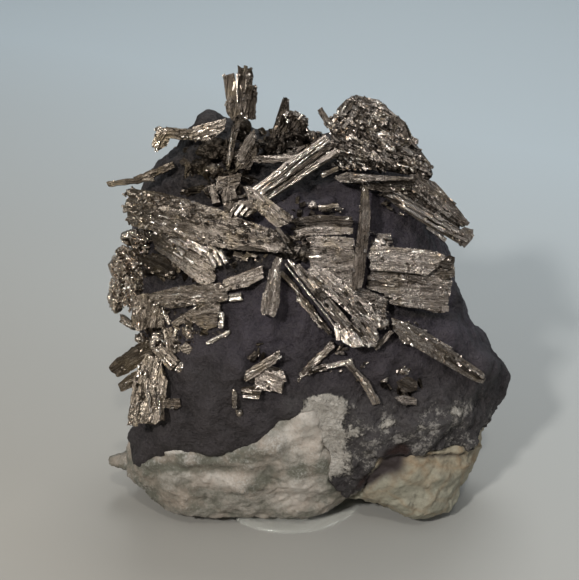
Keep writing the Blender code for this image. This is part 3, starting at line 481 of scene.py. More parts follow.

CRYSTALS = {
    "crown_left": (
        Sheet(((-15.8, 51.1), (-13.1, 51.9), (-12.6, 48), (-12.7, 44.4), (-13.6, 44), (-15, 45.2)),
            (8.6, 9), 86, 1.6, "shade"),
        Blade((-12.4, 44.4), (-12.5, 51.6), (9.9, 9.9), 0.4, 1, 0, "white"),
        Sheet(((-12.3, 53.6), (-10.6, 52.9), (-8.9, 53.5), (-8.7, 50.2), (-9.2, 47.6), (-8.9, 45.4),
            (-12.6, 45)), (8.4, 9.4), 88, 2.2, "dark"),
        Splinters(((-12, 46), (-12, 53), (-9, 53), (-9, 46)),
            16, 88, 16, (1, 3.4), (0, 0.3), "dull", 0),
        Blade((-10.5, 47.6), (-10.1, 53), (9.8, 9.6), 0.5, 1.2, 0, "plate"),
        Sheet(((-12.8, 47.6), (-8.8, 48), (-7.8, 47), (-8.1, 43.6), (-8.6, 40.6), (-12.4, 40)),
            (8, 8.4), 86, 2.4, "dark"),
        Blade((-8.7, 40.6), (-8.2, 49.6), (7.6, 8), 1.1, 1.6, 0, "ragged"),
        Sheet(((-15.3, 44.6), (-14, 45.8), (-11.4, 44.6), (-11.2, 41), (-13.4, 39.8), (-15, 42)),
            (9.4, 9.6), 82, 2, "dark"),
        Blade((-10.9, 40.7), (-9.9, 40.9), (9.6, 9.6), 0.8, 1, 0, "white"),
        Sheet(((-13.6, 40), (-11.6, 40.4), (-12.4, 37), (-13.3, 33), (-14, 28.4), (-15.2, 28.5),
            (-14.6, 34)), (12.9, 10.4), 83, 1.8, "dark"),
        Blade((-14.6, 29.4), (-13.6, 38), (13.6, 11.8), 0.4, 0.8, 0, "plate"),
        Sheet(((-13, 28.6), (-10.8, 31), (-7.8, 36), (-8.4, 38.2), (-10, 36.6), (-12.6, 32)),
            (13.2, 11), 58, 1.6, "felted"),
        Sheet(((-12.9, 28.2), (-9.6, 28.6), (-7.6, 32), (-8, 34.4), (-10.6, 30.8)),
            (13.6, 12.4), 52, 1.5, "dark"),
        Sheet(((-14.8, 41.2), (-15.4, 38.4), (-19.6, 34.8), (-21, 35.6), (-24, 35.6), (-23.4, 38.6),
            (-18, 40.2)), (9.5, 8.3), 200, 2, "sheaf"),
        Blade((-22.6, 37), (-29.4, 37.4), (8, 6.8), 2.6, 2.2, 10, "dull"),
        Sheet(((-29, 38.8), (-31, 38.8), (-32, 37), (-33.2, 34.4), (-31.6, 32.6), (-29.4, 34),
            (-28.4, 36)), (6.5, 6.5), 235, 2, "sheaf"),
        Lump((-31.2, 38.2), 6.3, (1, 0.9, 1)),
        Blade((-31.2, 35.6), (-31.8, 32.8), (7.6, 7.4), 0.9, 1, 0, "white"),
        Blade((-19.8, 37.4), (-19.4, 38.6), (9.4, 9.4), 0.7, 0.8, 0, "white"),
        Lump((-18, 28.4), 11.4, (2, 1.8, 1.6), 0.3),
        Lump((-11.4, 38.4), 8.6, (2.4, 3, 2.4), 0.16),
        Lump((-13.6, 31.6), 10.6, (3, 2.6, 2), 0.12),
        Sheet(((-18, 24), (-17, 27), (-14, 26.6), (-11.2, 27.9), (-11.9, 25.2), (-13.6, 22.6)),
            (13, 14), 16, 1.8, "dull"),
        Sheet(((-16.8, 24.4), (-13, 24.4), (-12.4, 21), (-13.4, 18.4), (-15.4, 19)),
            (14.8, 13.6), 84, 1.8, "felted"),
        Blade((-18.7, 25), (-17.2, 20.2), (12.8, 14.2), 1.8, 1.8, 0, "dull"),
        Lump((-17.6, 33.4), 9.4, (4.2, 3, 2.6), 0.1),
        Lump((-20.4, 29), 8.6, (3.8, 2.6, 2.6), 0.08),
        Lump((-9.4, 33.6), 9.6, (2.6, 3.2, 2.4), 0.1),
        Lump((-15.4, 26.6), 11, (3, 2.4, 2), 0.1),
        Splinters(((-24, 23), (-26, 31), (-20, 37), (-10, 37), (-7, 30), (-10, 22)),
            40, 60, 80, (2, 6), (0, 1.2), "black"),
        Splinters(((-22, 22), (-20, 30), (-9, 30), (-9, 22)),
            7, 0, 90, (0.4, 0.9), (0, 0.3), "glint", 0),
        Splinters(((-33, 33), (-32, 39), (-16, 41), (-16, 36)),
            6, 20, 60, (0.4, 1), (0, 0.3), "glint", 0),
        Splinters(((-22, 22), (-20, 30), (-9, 30), (-9, 22)),
            24, 100, 60, (1.4, 4), (0.8, 2.4), "dull"),
    ),
    "left_spike": (
        Blade((-27, 30), (-37, 26), (6.6, 5.8), 1.7, 1.6, 0, "dull"),
        Blade((-32, 26.8), (-43.3, 25.1), (6.1, 5.5), 1.7, 1.5, 0, "dull", 0.6),
    ),
    "left_sheaf": (
        Sheet(((-39.4, 20.2), (-38.5, 24), (-31.3, 23.1), (-25.1, 20.9), (-20.8, 20.4),
            (-14.2, 18.3), (-7.5, 15.6), (-2.7, 14), (1.3, 8.4), (-1.3, 9.3), (-7.5, 10.2),
            (-11.3, 11.2), (-14.2, 9.4), (-18, 10.8), (-19.9, 11.4), (-25.6, 15.4), (-31.8, 17.8),
            (-34, 14.6), (-38, 15.4)), (6, 19.2, 0, 3.8), -14, 2.4, "felted"),
        Blade((-24, 19.4), (-6, 14), (15.6, 19), 1.6, 1.2, 0, "dull"),
        Blade((-31, 19.6), (-13.6, 16), (12.4, 17.6), 1.2, 1.4, 0, "plate"),
        Sheet(((-33.2, 17), (-25.6, 15.6), (-19.9, 11.4), (-17.2, 10.2), (-15.1, 7), (-16.3, 5.7),
            (-20.1, 8.2), (-26, 11), (-32.7, 13.6)), (8.6, 17.2, 0, 1.8), -32, 1.8, "bright"),
        Blade((-33, 17.2), (-28.4, 15), (11.2, 13.6), 0.9, 1.2, 0, "white"),
        Blade((-27.4, 14.6), (-24.4, 12.8), (14.4, 15.8), 0.8, 1.2, 0, "white"),
        Blade((-31.6, 13.8), (-24, 9.6), (11.2, 15.2), 0.7, 1.2, 0, "white"),
        Blade((-29.8, 12.4), (-27.6, 10.8), (11.8, 13.2), 0.9, 1.2, 0, "white"),
        Blade((-27, 10.2), (-24.8, 8.4), (13.4, 14.6), 0.9, 1.2, 0, "white"),
        Blade((-24.4, 12.2), (-18.6, 9.2), (15.6, 17.6), 0.7, 1.2, 0, "white"),
        Blade((-19.4, 8.8), (-17.8, 5.7), (19.4, 19.6), 0.9, 1.4, 14, "clean"),
        Blade((-18, 9.3), (-16.3, 5.7), (19.6, 19.8), 0.8, 1.4, -6, "clean"),
        Blade((-16.6, 9.6), (-15, 6.4), (19.6, 19.8), 0.9, 1.4, -14, "clean"),
        Sheet(((-33, 13.4), (-26, 10.6), (-20.1, 7.8), (-17.5, 5.6), (-17.4, 2.6), (-19.9, 0.5),
            (-23.7, 3.1), (-28, 6.8), (-32.7, 10.8)), (7, 16, 0, 1.8), -34, 2, "plate"),
        Sheet(((-36.5, 8.3), (-31.3, 8.6), (-27, 5.7), (-27.3, 3.3), (-29.6, 3.3), (-34.2, 5.2)),
            (5.4, 12.6), -24, 1.8, "shade"),
        Blade((-34, 4.6), (-27.6, 3), (7.6, 12), 0.9, 1.2, 0, "bright"),
        Blade((-13.6, 8.8), (-9.8, 7.4), (17, 17), 1.1, 1.3, 0, "sheaf"),
        Blade((-10.6, 8.6), (-7.6, 8), (17.2, 17.4), 0.9, 1.2, 0, "bright"),
        Lump((-38, 20), 3.5, (2, 2, 2.6)),
        Lump((-37.6, 16.8), 4, (1.5, 1.4, 1.8)),
        Lump((-37.4, 23.3), 3, (1.6, 1.3, 2)),
        Lump((-37.4, 12.4), 3.4, (2.6, 1.9, 2.4), 1),
        Lump((-34.4, 12.6), 4.6, (2.4, 1.6, 2.4), 1),
        Lump((-35.6, 10.2), 3.6, (3, 1.8, 2.2), 0.9),
        Splinters(((-40, 14), (-33, 14), (-32, 9), (-39, 8)),
            30, -30, 50, (0.8, 2.6), (0, 0.4), "bright", 0),
        Splinters(((-39, 14), (-39, 24), (-34, 23), (-33, 15)),
            20, 20, 70, (1, 2.4), (3, 5), "twig"),
        Splinters(((-40, 15), (-40, 24), (-34, 23), (-32, 18), (-34, 14)),
            14, 0, 60, (0.4, 1.1), (0, 0.4), "glint", 0),
        Splinters(((-40, 15), (-40, 24), (-34, 23), (-32, 18), (-34, 14)),
            20, 0, 60, (0.6, 2), (0, 0.5), "twig", 0),
        Splinters(((-34, 17.6), (-33, 12), (-20, 6), (-16, 8), (-22, 14)),
            18, -34, 16, (0.4, 1.4), (0, 0.3), "glint", 0),
        Splinters(((-34, 20), (-30, 22), (-4, 15), (-2, 11), (-20, 15)),
            14, -16, 30, (0.4, 0.9), (0, 0.2), "glint", 0),
        Splinters(((-36, 22), (-30, 22), (-2, 14), (0, 9), (-20, 12)),
            50, -16, 20, (0.8, 2.6), (0, 0.2), "felted", 0),
        Splinters(((-18, 9.6), (-17, 4), (-7, 6), (-6, 10)),
            12, -15, 50, (1.2, 3), (0.3, 1), "sheaf"),
        Splinters(((-37, 14), (-36, 2), (-24, 1), (-22, 6), (-28, 12)),
            12, -25, 40, (1.5, 4), (0.5, 2), "dark"),
        Crags(((-37, 11), (-37, 2), (-17, -1), (-5, 6), (-6, 12), (-16, 8)),
            40, (0.5, 1.4), (0.02, 0.22)),
    ),
    "left_lump": (
        Lump((-38.4, 5.2), -0.4, (4.4, 4.6, 5.2), 1),
        Lump((-40, 0), -1.2, (3.3, 4.6, 5), 1),
        Lump((-36.4, 1.4), 1, (3, 3.6, 4.4), 1),
        Lump((-41.4, -3.4), -1.6, (1.7, 2.2, 3)),
        Lump((-39.4, 9.2), 0.2, (2, 1.6, 2.6)),
        Lump((-36.4, 6.6), 1.4, (3.2, 3.2, 4), 0.9),
        Lump((-36.2, -2.6), 2, (2.8, 2.6, 3.4), 0.9),
        Splinters(((-43, 0), (-40, 10), (-34, 9), (-33, -4), (-42, -5)),
            21, -60, 80, (0.4, 0.9), (0, 0.2), "glint", 0),
        Splinters(((-43, 0), (-40, 10), (-34, 9), (-33, -4), (-42, -5)),
            60, -60, 80, (0.8, 2), (0, 0.3), "twig", 0),
        Splinters(((-42, 6), (-40, 10), (-34, 9), (-33, 0), (-38, -5), (-42, -4)),
            26, -80, 60, (1, 2.6), (0.6, 2.6), "sheaf"),
    ),
    "left_blades": (
        Blade((-40, -6.8), (-36.4, -8.8), (2.4, 4.4), 1.9, 1.8, 0, "satin"),
        Sheet(((-33.4, -3.2), (-33.2, -1), (-26.4, 0.9), (-20, 1.3), (-14.9, 1.6), (-14.5, -2.9),
            (-21.2, -3.4), (-28.5, -4.4)), (8.5, 17.2), 3, 2.2, "plate"),
        Sheet(((-16.4, -0.8), (-16.2, 2.1), (-10, 4.3), (-6.2, 5.8), (-5.6, 3), (-9, 1.4),
            (-13, 0.1)), (17.6, 18.8), 20, 2, "plate"),
        Blade((-14.4, -1.9), (-11.4, -1.6), (17.8, 17.8), 1.8, 1.8, 0, "clean"),
        Sheet(((-37.4, -1.6), (-37.7, -8.6), (-36, -10.2), (-33.4, -9), (-30, -9.4), (-29.4, -5),
            (-30.6, -1.2), (-34, -0.6)), (6.6, 6.2), -92, 2.6, "satin"),
        Sheet(((-28.4, -8), (-25.6, -6), (-21.4, -3.6), (-16, -3), (-16, -5.4), (-21.4, -7.6),
            (-27, -8.5)), (10.6, 15.6), 20, 1.8, "plate"),
        Sheet(((-22.6, -5.8), (-16.8, -5.4), (-17, -8.6), (-20, -9.4), (-22.4, -8.4)),
            (14.2, 15.4), 4, 1.8, "dull"),
        Blade((-30.3, -4.2), (-28.4, -8.5), (10.2, 10.6), 1, 1.2, 0, "bright"),
        Blade((-16.2, -5), (-16.4, -9.4), (16.4, 16.8), 1, 1.2, 0, "white"),
        Blade((-20, -12.9), (-13.9, -9.8), (14.4, 15.8), 1, 1.3, 0, "white"),
        Blade((-19.4, -12.3), (-14.2, -9.6), (15.2, 16.6), 0.4, 0.8, 0, "clean"),
        Blade((-15.8, -5.4), (-15.9, -9), (17.2, 17.6), 0.5, 0.8, 0, "clean"),
        Sheet(((-26.4, -13.8), (-24.6, -12.4), (-22.9, -14), (-23.8, -15.4), (-25.4, -15)),
            (12.2, 12.8), 15, 1.4, "smooth"),
        Blade((-28.5, -9), (-27.3, -15), (9.9, 10.9), 3.3, 2, 0, "satin"),
        Lump((-23.8, -9.4), 12.4, (1.8, 2.3, 2)),
        Lump((-20.4, -10), 12.8, (2, 1.6, 1.6)),
        Lump((-30.6, -11.4), 9.4, (2.2, 1.6, 1.6)),
        Lump((-35.4, -11.6), 6.6, (1.6, 1.4, 1.6)),
        Splinters(((-34, -4), (-16, 1), (-15, -3), (-30, -5)),
            10, 6, 40, (0.4, 0.9), (0, 0.2), "glint", 0),
        Splinters(((-38, -2), (-31, -2), (-30, -12), (-37, -12)),
            7, -80, 50, (0.4, 0.9), (0, 0.2), "glint", 0),
        Splinters(((-31, -5), (-16, -4), (-16, -11), (-24, -14), (-31, -13)),
            26, 10, 60, (1.3, 3.4), (0.3, 1.6), "dull"),
        Splinters(((-38, -8), (-30, -8), (-28, -14), (-36, -13)),
            12, -60, 50, (1.2, 3), (0.3, 1.8), "ragged"),
        Crags(((-36, -8), (-31, -4), (-16, -4), (-16, -11), (-24, -15), (-33, -15)),
            40, (0.5, 1.3), (0.05, 0.35)),
    ),
    "lower_left_spray": (
        Sheet(((-33, -11.6), (-36, -12.8), (-41, -16), (-43.4, -18.4), (-41.4, -21.2),
            (-38.2, -19.6), (-32.4, -15.6)), (9.5, 5), 213, 2, "dull"),
        Sheet(((-34, -18), (-38, -20), (-41.2, -22.4), (-40, -24.4), (-36.8, -22.8), (-34, -20.6)),
            (8.2, 5), 213, 1.8, "dull"),
        Sheet(((-33.6, -14.6), (-30.6, -16), (-30.2, -20.2), (-28.9, -21.7), (-30, -24.3),
            (-29.8, -27.5), (-30.2, -31), (-32, -32.1), (-33, -31.3), (-35.6, -32.6),
            (-38.8, -32.6), (-37.9, -28), (-37.5, -25.4), (-37, -20.2), (-35.6, -17)),
            (9.6, 10.4), -98, 2.4, "plate"),
        Blade((-33.7, -23.6), (-33.2, -29), (12.6, 12.8), 0.5, 0.8, 0, "clean"),
        Blade((-31.2, -25), (-30.8, -30), (12, 12.2), 0.4, 0.8, 0, "white"),
        Blade((-32.4, -23), (-32, -28), (11.5, 11.7), 0.8, 0.9, 0, "satin"),
        Blade((-36.2, -24), (-36.8, -31), (11, 11.2), 0.7, 1.1, 0, "satin"),
        Splinters(((-37, -19), (-31, -18), (-30, -30), (-38, -31)),
            8, -96, 14, (0.4, 1.5), (0, 0.3), "glint", 0),
        Splinters(((-37, -19), (-31, -18), (-30, -30), (-38, -31)),
            8, -96, 14, (1, 3), (0, 0.1), "dull", 0),
        Blade((-31.6, -13.6), (-26.8, -18.2), (10.4, 12), 3, 2, 0, "satin"),
        Sheet(((-30, -26), (-26, -25.8), (-25.9, -28), (-28, -28.4), (-30, -27.8)),
            (10.2, 10.4), 0, 1.4, "dull"),
        Lump((-26.1, -18.2), 12, (1.2, 1.4, 1.3)),
        Lump((-32.4, -13), 9.6, (2, 1.8, 1.8)),
        Splinters(((-36, -10), (-27, -9), (-26, -17), (-33, -18)),
            16, -90, 70, (1.4, 3), (0.8, 2.6), "sheaf"),
    ),
    "diagonal_blade": (
        Blade((-8, 22), (10.6, 35), (17, 18.5), 4.3, 2.6, 8, "bright", 1.3),
        Blade((-6.8, 22.6), (10.6, 34.8), (18.6, 20.3), 0.9, 0.9, 0, "dark"),
        Blade((-5, 25.2), (6, 33.2), (18.8, 20), 0.5, 0.9, 0, "dark"),
        Blade((-8.4, 23.6), (9.4, 36.6), (18, 19.8), 0.7, 1, 0, "white"),
        Blade((-7.6, 22.2), (3.4, 30.2), (18.8, 20), 0.45, 0.9, 0, "clean"),
        Blade((-4, 25.4), (9.8, 35.8), (18.9, 20.1), 0.4, 0.9, 0, "white"),
        Blade((-2, 26), (10.8, 34.6), (18.4, 19.9), 0.45, 1, 0, "clean"),
        Splinters(((-8, 22), (-8, 25), (9, 37), (11, 34)),
            8, 35, 12, (0.4, 2.2), (0, 0.3), "glint", 0),
    ),
    "thin_bar": (
        Blade((-9.9, 31), (3.1, 31.3), (12.5, 14), 1.7, 1.5, 0, "dull"),
        Blade((-6, 31.6), (2.4, 31.8), (13.4, 14.4), 0.6, 1, 0, "sheaf"),
    ),
    "crossing_blades": (
        Sheet(((-11, 24.8), (-9.6, 24.9), (-4, 20.9), (0.7, 17.4), (0.6, 16), (-2.3, 14.5),
            (-6.6, 18), (-9.4, 20.7)), (20.5, 21.5), -40, 1.7, "felted"),
        Blade((-8.4, 23.2), (-1.4, 16.8), (21.4, 22.4), 0.4, 0.6, 0, "sheaf"),
        Sheet(((-13.6, 18.4), (-12.4, 21.4), (-9, 21), (-7.4, 19), (-9.6, 17.4)),
            (18.4, 19), -8, 1.4, "dull"),
        Blade((-14.2, 17.4), (-12.5, 20.7), (19.2, 19.6), 0.7, 1, 0, "clean"),
        Blade((-12.9, 17.8), (-11, 20.5), (19.6, 20), 0.7, 1, 0, "clean"),
        Blade((-11.5, 17.9), (-9.8, 19.9), (19.8, 20.2), 0.7, 1, 0, "clean"),
        Blade((-10.1, 17.7), (-8.9, 19), (20, 20.2), 0.6, 1, 0, "white"),
        Blade((-3, 15), (-0.4, 11.4), (20.6, 20.4), 0.9, 1.2, 0, "bright"),
        Splinters(((-16, 17), (-14, 24), (-7, 24), (-8, 17)),
            14, -30, 60, (1.2, 3), (3, 5), "dull"),
        Crags(((-8, 17), (-6, 22), (2, 22), (6, 17), (0, 13)), 26, (0.5, 1.5), (0.02, 0.24)),
    ),
    "horn": (
        Lump((0.6, 36.8), 5, (4.8, 4.4, 3.6), 0.12),
        Lump((-3.6, 34.4), 6, (3, 2.6, 2.4), 0.1),
        Sheet(((-4.2, 37.9), (-1.3, 46), (0.2, 45.8), (-0.4, 43.3), (0.8, 42.6), (3.1, 42.1),
            (4.2, 39), (4.6, 37.1), (2.5, 34.6), (-2.6, 34.4)), (6, 8), 68, 2.2, "rough"),
        Blade((-4, 35.8), (-0.4, 46.2), (7.6, 7.6), 1.5, 1.5, 0, "dark", 0.4),
        Lump((1, 41.6), 8, (1.5, 1.1, 1.2), 0.3),
        Lump((3.2, 39.4), 8, (1.3, 2.2, 1.5), 0.2),
        Blade((-1.2, 41.4), (-0.4, 42.6), (9.2, 9.2), 0.7, 0.8, 0, "clean"),
        Blade((0.8, 42.2), (2.2, 41.6), (9.4, 9.2), 0.7, 0.8, 0, "clean"),
        Blade((2.2, 40.6), (3, 41.6), (9.4, 9.2), 0.5, 0.8, 0, "clean"),
        Blade((-0.8, 40), (0, 40.6), (9, 9), 0.5, 0.8, 0, "white"),
        Lump((6, 36.4), 6.6, (1.8, 1.5, 1.6), 0.35),
        Crags(((-7, 30), (-6, 38), (-2, 41), (6, 41), (9, 34), (6, 30)),
            30, (0.8, 2), (0.04, 0.24)),
        Splinters(((-6, 31), (-6, 37), (-2, 39), (7, 37), (8, 32), (4, 31)),
            40, 40, 80, (1.8, 5), (0.4, 2), "dark"),
        Splinters(((-6, 31), (-2, 37), (6, 37), (8, 32)), 14, 50, 60, (1.2, 3), (1.4, 3), "dull"),
        Splinters(((-2, 39), (-1, 43), (3, 42.6), (5, 38), (2, 36)),
            7, 30, 80, (0.4, 0.8), (0, 0.3), "glint", 0),
    ),
    "crest": (
        Sheet(((8.7, 39.8), (9.6, 41.4), (13.4, 44.8), (16, 46.5), (17.6, 45.8), (19.9, 45.2),
            (22, 44.8), (23.2, 42.9), (24.6, 42.2), (27.2, 40.2), (28.5, 37.6), (29.2, 35),
            (31.2, 31.9), (34.2, 30), (34.2, 26.6), (33, 26), (28, 27.4), (20, 28.2), (12, 28.8),
            (10.4, 31), (10.4, 34)), (8.8, 10.8, 5), -34, 3, "rippled"),
        Sheet(((10, 40), (13.6, 44.2), (16, 45.6), (21, 44), (23.4, 41), (20, 37), (14, 35),
            (10.4, 36.4)), (11.4, 8.8, 1), 58, 2, "rippled"),
        Sheet(((10.8, 34.4), (16, 36.4), (24, 35.2), (29, 33.4), (33.6, 29.6), (33.8, 27),
            (26, 28.8), (12, 29.8)), (12.6, 12), -22, 2.2, "rippled"),
        Sheet(((23.8, 42.2), (26.8, 40.4), (28.2, 37.6), (28.9, 35), (27.6, 34.2), (25, 37),
            (23.8, 39.8)), (9.2, 10.6), -62, 1.6, "dark"),
        Blade((17, 39.4), (27, 34.6), (12.6, 12.4), 1.4, 1.6, 0, "rippled"),
        Blade((19, 37.4), (26, 34.4), (13.2, 12.8), 0.8, 1.2, 0, "white"),
        Blade((22.8, 35.6), (29.4, 32.4), (13.4, 12.4), 0.8, 1.2, 0, "white"),
        Blade((27, 31.2), (33.6, 28), (13.4, 12.4), 0.9, 1.2, 0, "white"),
        Blade((14, 34.6), (21, 31.8), (13.8, 13.8), 0.8, 1.2, 0, "bright"),
        Sheet(((10.4, 26.9), (12, 27.9), (15, 27.9), (20, 27.3), (28.6, 27), (28.8, 26.2),
            (20, 26.1), (14, 25.6), (11.4, 26)), (16, 15), -2, 1.5, "satin"),
        Sheet(((12, 26.4), (20, 26.6), (30, 26.4), (29, 23.6), (22, 23.4), (16, 24.8)),
            (13.6, 12.6), -4, 1.6, "dark"),
        Blade((11.6, 28.9), (7.4, 27.1), (15.6, 15.4), 1.1, 1.2, 0, "bright"),
        Blade((9.6, 38.8), (7.2, 43.2), (9.4, 9.5), 1.4, 1.4, 0, "shade"),
        Lump((15.6, 45), 6.5, (1.5, 1.2, 1.6)),
        Lump((20.6, 43.8), 7.5, (1.5, 1.2, 1.6)),
        Splinters(((11, 29), (10, 40), (16, 45), (22, 44), (28, 38), (34, 29), (33, 26)),
            90, -34, 20, (1.2, 4), (-0.1, 0.4), "twig", 0),
        Splinters(((14, 30), (14, 38), (22, 42), (28, 38), (34, 29), (33, 26)),
            60, -34, 24, (0.7, 2.4), (0, 0.4), "bright", 0),
        Splinters(((11, 29), (10, 40), (16, 45), (22, 44), (28, 38), (34, 29), (33, 26)),
            34, -30, 40, (0.7, 2), (0, 0.4), "dark", 0),
        Splinters(((14, 31), (20, 39), (27, 37), (34, 29), (33, 26), (22, 30)),
            38, -34, 24, (0.4, 1.1), (0.1, 0.5), "glint", 0),
        Splinters(((11, 37), (16, 45), (23, 43), (22, 40), (14, 36)),
            8, 10, 80, (0.4, 0.8), (0.1, 0.5), "glint", 0),
        Splinters(((12, 30), (10, 38), (14, 44), (22, 43), (28, 38), (33, 28)),
            60, -35, 40, (0.7, 1.6), (4, 5.6), "white"),
    ),
    "right_tail": (
        Sheet(((22.4, 22.6), (24, 21), (27, 19), (33, 15.1), (38, 12.5), (41.6, 10.2), (43.6, 12.4),
            (41.6, 14), (36, 17.4), (30, 20.6), (26, 23.4)), (14.2, 11), -29, 2, "bright"),
        Sheet(((28, 27.6), (31, 27.6), (34.2, 25.8), (38.8, 21.3), (43, 15.8), (41.8, 14),
            (38, 17.6), (33, 21.2), (28, 24.6)), (12, 9.8), -40, 1.8, "sheaf"),
        Sheet(((27, 25.4), (33, 22.2), (41.4, 15.4), (40.6, 13.6), (33, 18.6), (26, 22.6)),
            (11.4, 9.6), -36, 1.6, "dark"),
        Sheet(((39.4, 13.6), (41.6, 15.2), (43.7, 14.4), (43.8, 12.2), (41.7, 10)),
            (11.8, 10.8), -35, 1.8, "smooth"),
        Blade((32.4, 15.2), (37.4, 11.6), (12.6, 11.8), 0.9, 1.2, 0, "white"),
        Blade((24.2, 22.6), (38.4, 14.4), (15.4, 13), 0.6, 1, 0, "white"),
        Splinters(((22, 23), (42, 12), (43, 15), (30, 25)),
            11, -32, 12, (0.4, 1.8), (0, 0.3), "glint", 0),
        Blade((26, 20.4), (36.6, 14), (15.2, 13), 0.7, 1, 0, "white"),
        Sheet(((20.6, 25.6), (21.4, 22.6), (27, 20.6), (30, 22), (29, 25), (25, 26)),
            (12.8, 11.4), -20, 1.6, "dark"),
        Splinters(((21, 25), (21, 20), (28, 17), (31, 21), (27, 25)),
            16, -27, 30, (1, 3), (2, 4), "ragged"),
    ),
    "upright_blade": (
        Sheet(((17, 26), (18.9, 25.8), (19.3, 19), (19.2, 16.2), (18.7, 12.4), (18.2, 7.1),
            (17.7, 2.9), (17.3, -0.4), (15, -0.4), (14.9, 2.9), (15.7, 9.5), (16.3, 14.3),
            (16.7, 19)), (16.8, 21, 0, 1), -93, 1.8, "shade"),
    ),
    "center_block": (
        Sheet(((0.6, 14.2), (4, 15), (8, 15.1), (15.6, 14.8), (15.7, 13.4), (11, 13.1), (6, 13.3),
            (1.6, 12.9)), (16.8, 17.4), 1, 1.6, "smooth"),
        Sheet(((4, 12.6), (9, 12.8), (15.4, 12.4), (15.6, 9), (15.4, 2), (15.2, -1), (9.6, 3.2),
            (4.9, 4.4), (4.4, 8), (5.4, 10)), (16, 16.8), -1, 2.6, "satin"),
        Sheet(((-0.4, 17.2), (7, 17.8), (15.4, 17.7), (15.2, 14.8), (0, 14.4)),
            (14.4, 15), 1, 1.8, "dark"),
        Lump((3.9, 9), 15.6, (2.1, 2.3, 2), 0.26),
        Lump((1, 9.6), 15.2, (2.4, 2, 1.8), 0.4),
        Lump((-1.6, 11.6), 15.4, (2.4, 1.5, 1.6), 0.5),
        Lump((2, 12.6), 15.4, (2.2, 1.2, 1.6), 0.45),
        Splinters(((-5, 13.5), (2, 15), (5.6, 9), (3, 5.4), (-3, 8)),
            26, 5, 60, (1.2, 3), (0.5, 2.4), "dull"),
        Splinters(((5, 12), (15, 12), (15, 0), (6, 4)), 6, 0, 25, (0.4, 0.8), (0, 0.2), "glint", 0),
        Splinters(((4.4, 4), (4.6, 12), (8, 12), (7, 4)),
            6, 0, 60, (0.4, 0.8), (0, 0.3), "glint", 0),
    ),
    "short_lath": (
        Blade((6.6, 19.4), (12.2, 20.4), (15, 15.8), 1.1, 1.2, 0, "twig"),
        Lump((5.6, 20.2), 14.6, (1.2, 1, 1)),
        Lump((8.4, 19.2), 14.6, (1.8, 0.9, 1)),
        Lump((11.6, 19.2), 14.8, (1.1, 0.8, 0.9)),
        Splinters(((4, 18), (4, 21), (13, 21), (13, 18)), 8, 0, 40, (0.8, 2), (0.4, 1.4), "twig"),
    ),
    "right_slab": (
        Sheet(((18.3, 5), (29, 5), (39, 6.8), (39.2, 3), (38, -5.2), (36, -5.4), (31, -4.3),
            (26, -3.8), (23.7, -3.3), (23.9, -1.9), (21, -0.4), (18.4, 0.3)),
            (16.8, 15.8), -3, 2.6, "plate"),
        Sheet(((24, 0.6), (38.6, 0.2), (38, -5), (36, -5.2), (31, -4.1), (24.4, -3)),
            (17, 16.2), -3, 1.6, "sheaf"),
        Sheet(((18.7, 8.6), (19.8, 10.4), (23, 10.2), (28.7, 9.9), (33.9, 9.4), (37.6, 8.4),
            (36.6, 6.6), (34.9, 5.2), (33, 3.5), (30.6, 3.7), (29.2, 4.8), (24.4, 4.6),
            (18.7, 4.8)), (18.8, 18), -2, 2, "silver"),
        Blade((18.4, 3.2), (26, 1.4), (18.4, 18), 0.8, 1.2, 0, "satin"),
        Blade((24, 2.8), (33, 1.9), (18.2, 17.8), 0.9, 1.2, 0, "sheaf"),
        Sheet(((35.4, 6.6), (37.8, 8.2), (39.3, 7.8), (39.3, 5), (37, 4.4)),
            (18.4, 17.8), -8, 2, "dark"),
        Sheet(((35.2, 5), (39.4, 5.4), (39.4, 3), (35.8, 2.8)), (17.8, 17.2), -2, 1.6, "bright"),
        Blade((21, 12.8), (24.3, 12.7), (16, 16), 1.3, 1.3, 0, "bright"),
        Lump((21, 10.8), 16.6, (1.7, 1.7, 1.6)),
        Splinters(((19, 14), (25, 13), (24, 9), (19, 9)), 10, 10, 50, (1, 2.4), (0.6, 2.4), "twig"),
        Splinters(((19, 5), (38, 5), (38, -4), (25, -3)),
            9, -4, 30, (0.4, 1), (0, 0.2), "glint", 0),
        Splinters(((26, 9), (31, 8.6), (30, 5), (27, 5.4)),
            5, 30, 80, (0.4, 0.9), (0, 0.3), "glint", 0),
        Splinters(((19, 10), (23, 10), (22, 6), (19, 7)),
            5, 30, 80, (0.4, 0.8), (0, 0.3), "glint", 0),
        Splinters(((36, 5), (39.4, 6), (39.2, -5), (37, -5)),
            6, -4, 30, (0.4, 1.1), (0, 0.3), "glint", 0),
    ),
    "lower_fan": (
        Blade((-1.7, 7), (13, -11.4), (20, 20.4), 0.5, 1.4, 0, "clean"),
        Blade((-0.4, 7.2), (14, -10.6), (19.6, 20.2), 1.2, 1.4, 0, "bright"),
        Blade((1.4, 6), (15, -9.6), (19.2, 19.8), 1.8, 1.6, 0, "bright"),
        Sheet(((3.9, 5.4), (6, 6.4), (9.6, 4.3), (15.4, -0.6), (22.7, -7.4), (21.4, -9.2),
            (19.4, -9.6), (16, -7), (12, -3), (6.4, 1.6)), (18.4, 18.8), -43, 2.2, "silver"),
        Blade((6, 3.4), (17, -6.6), (19.8, 20.2), 0.4, 1, 0, "clean"),
        Blade((8.4, 3.6), (14, -1.6), (19.8, 20), 0.4, 0.8, 0, "white"),
        Blade((13, -1), (21, -7.8), (19.8, 20), 0.5, 0.8, 0, "white"),
        Blade((10, 0.4), (18.4, -7.6), (19.7, 20.1), 0.4, 0.8, 0, "dark"),
        Sheet(((13.4, -8.4), (11.9, -9.8), (12.6, -12.4), (15.3, -13.8), (17.9, -13.6),
            (16.2, -10.6), (14.7, -8.4)), (20, 20.2), -52, 1.8, "clean"),
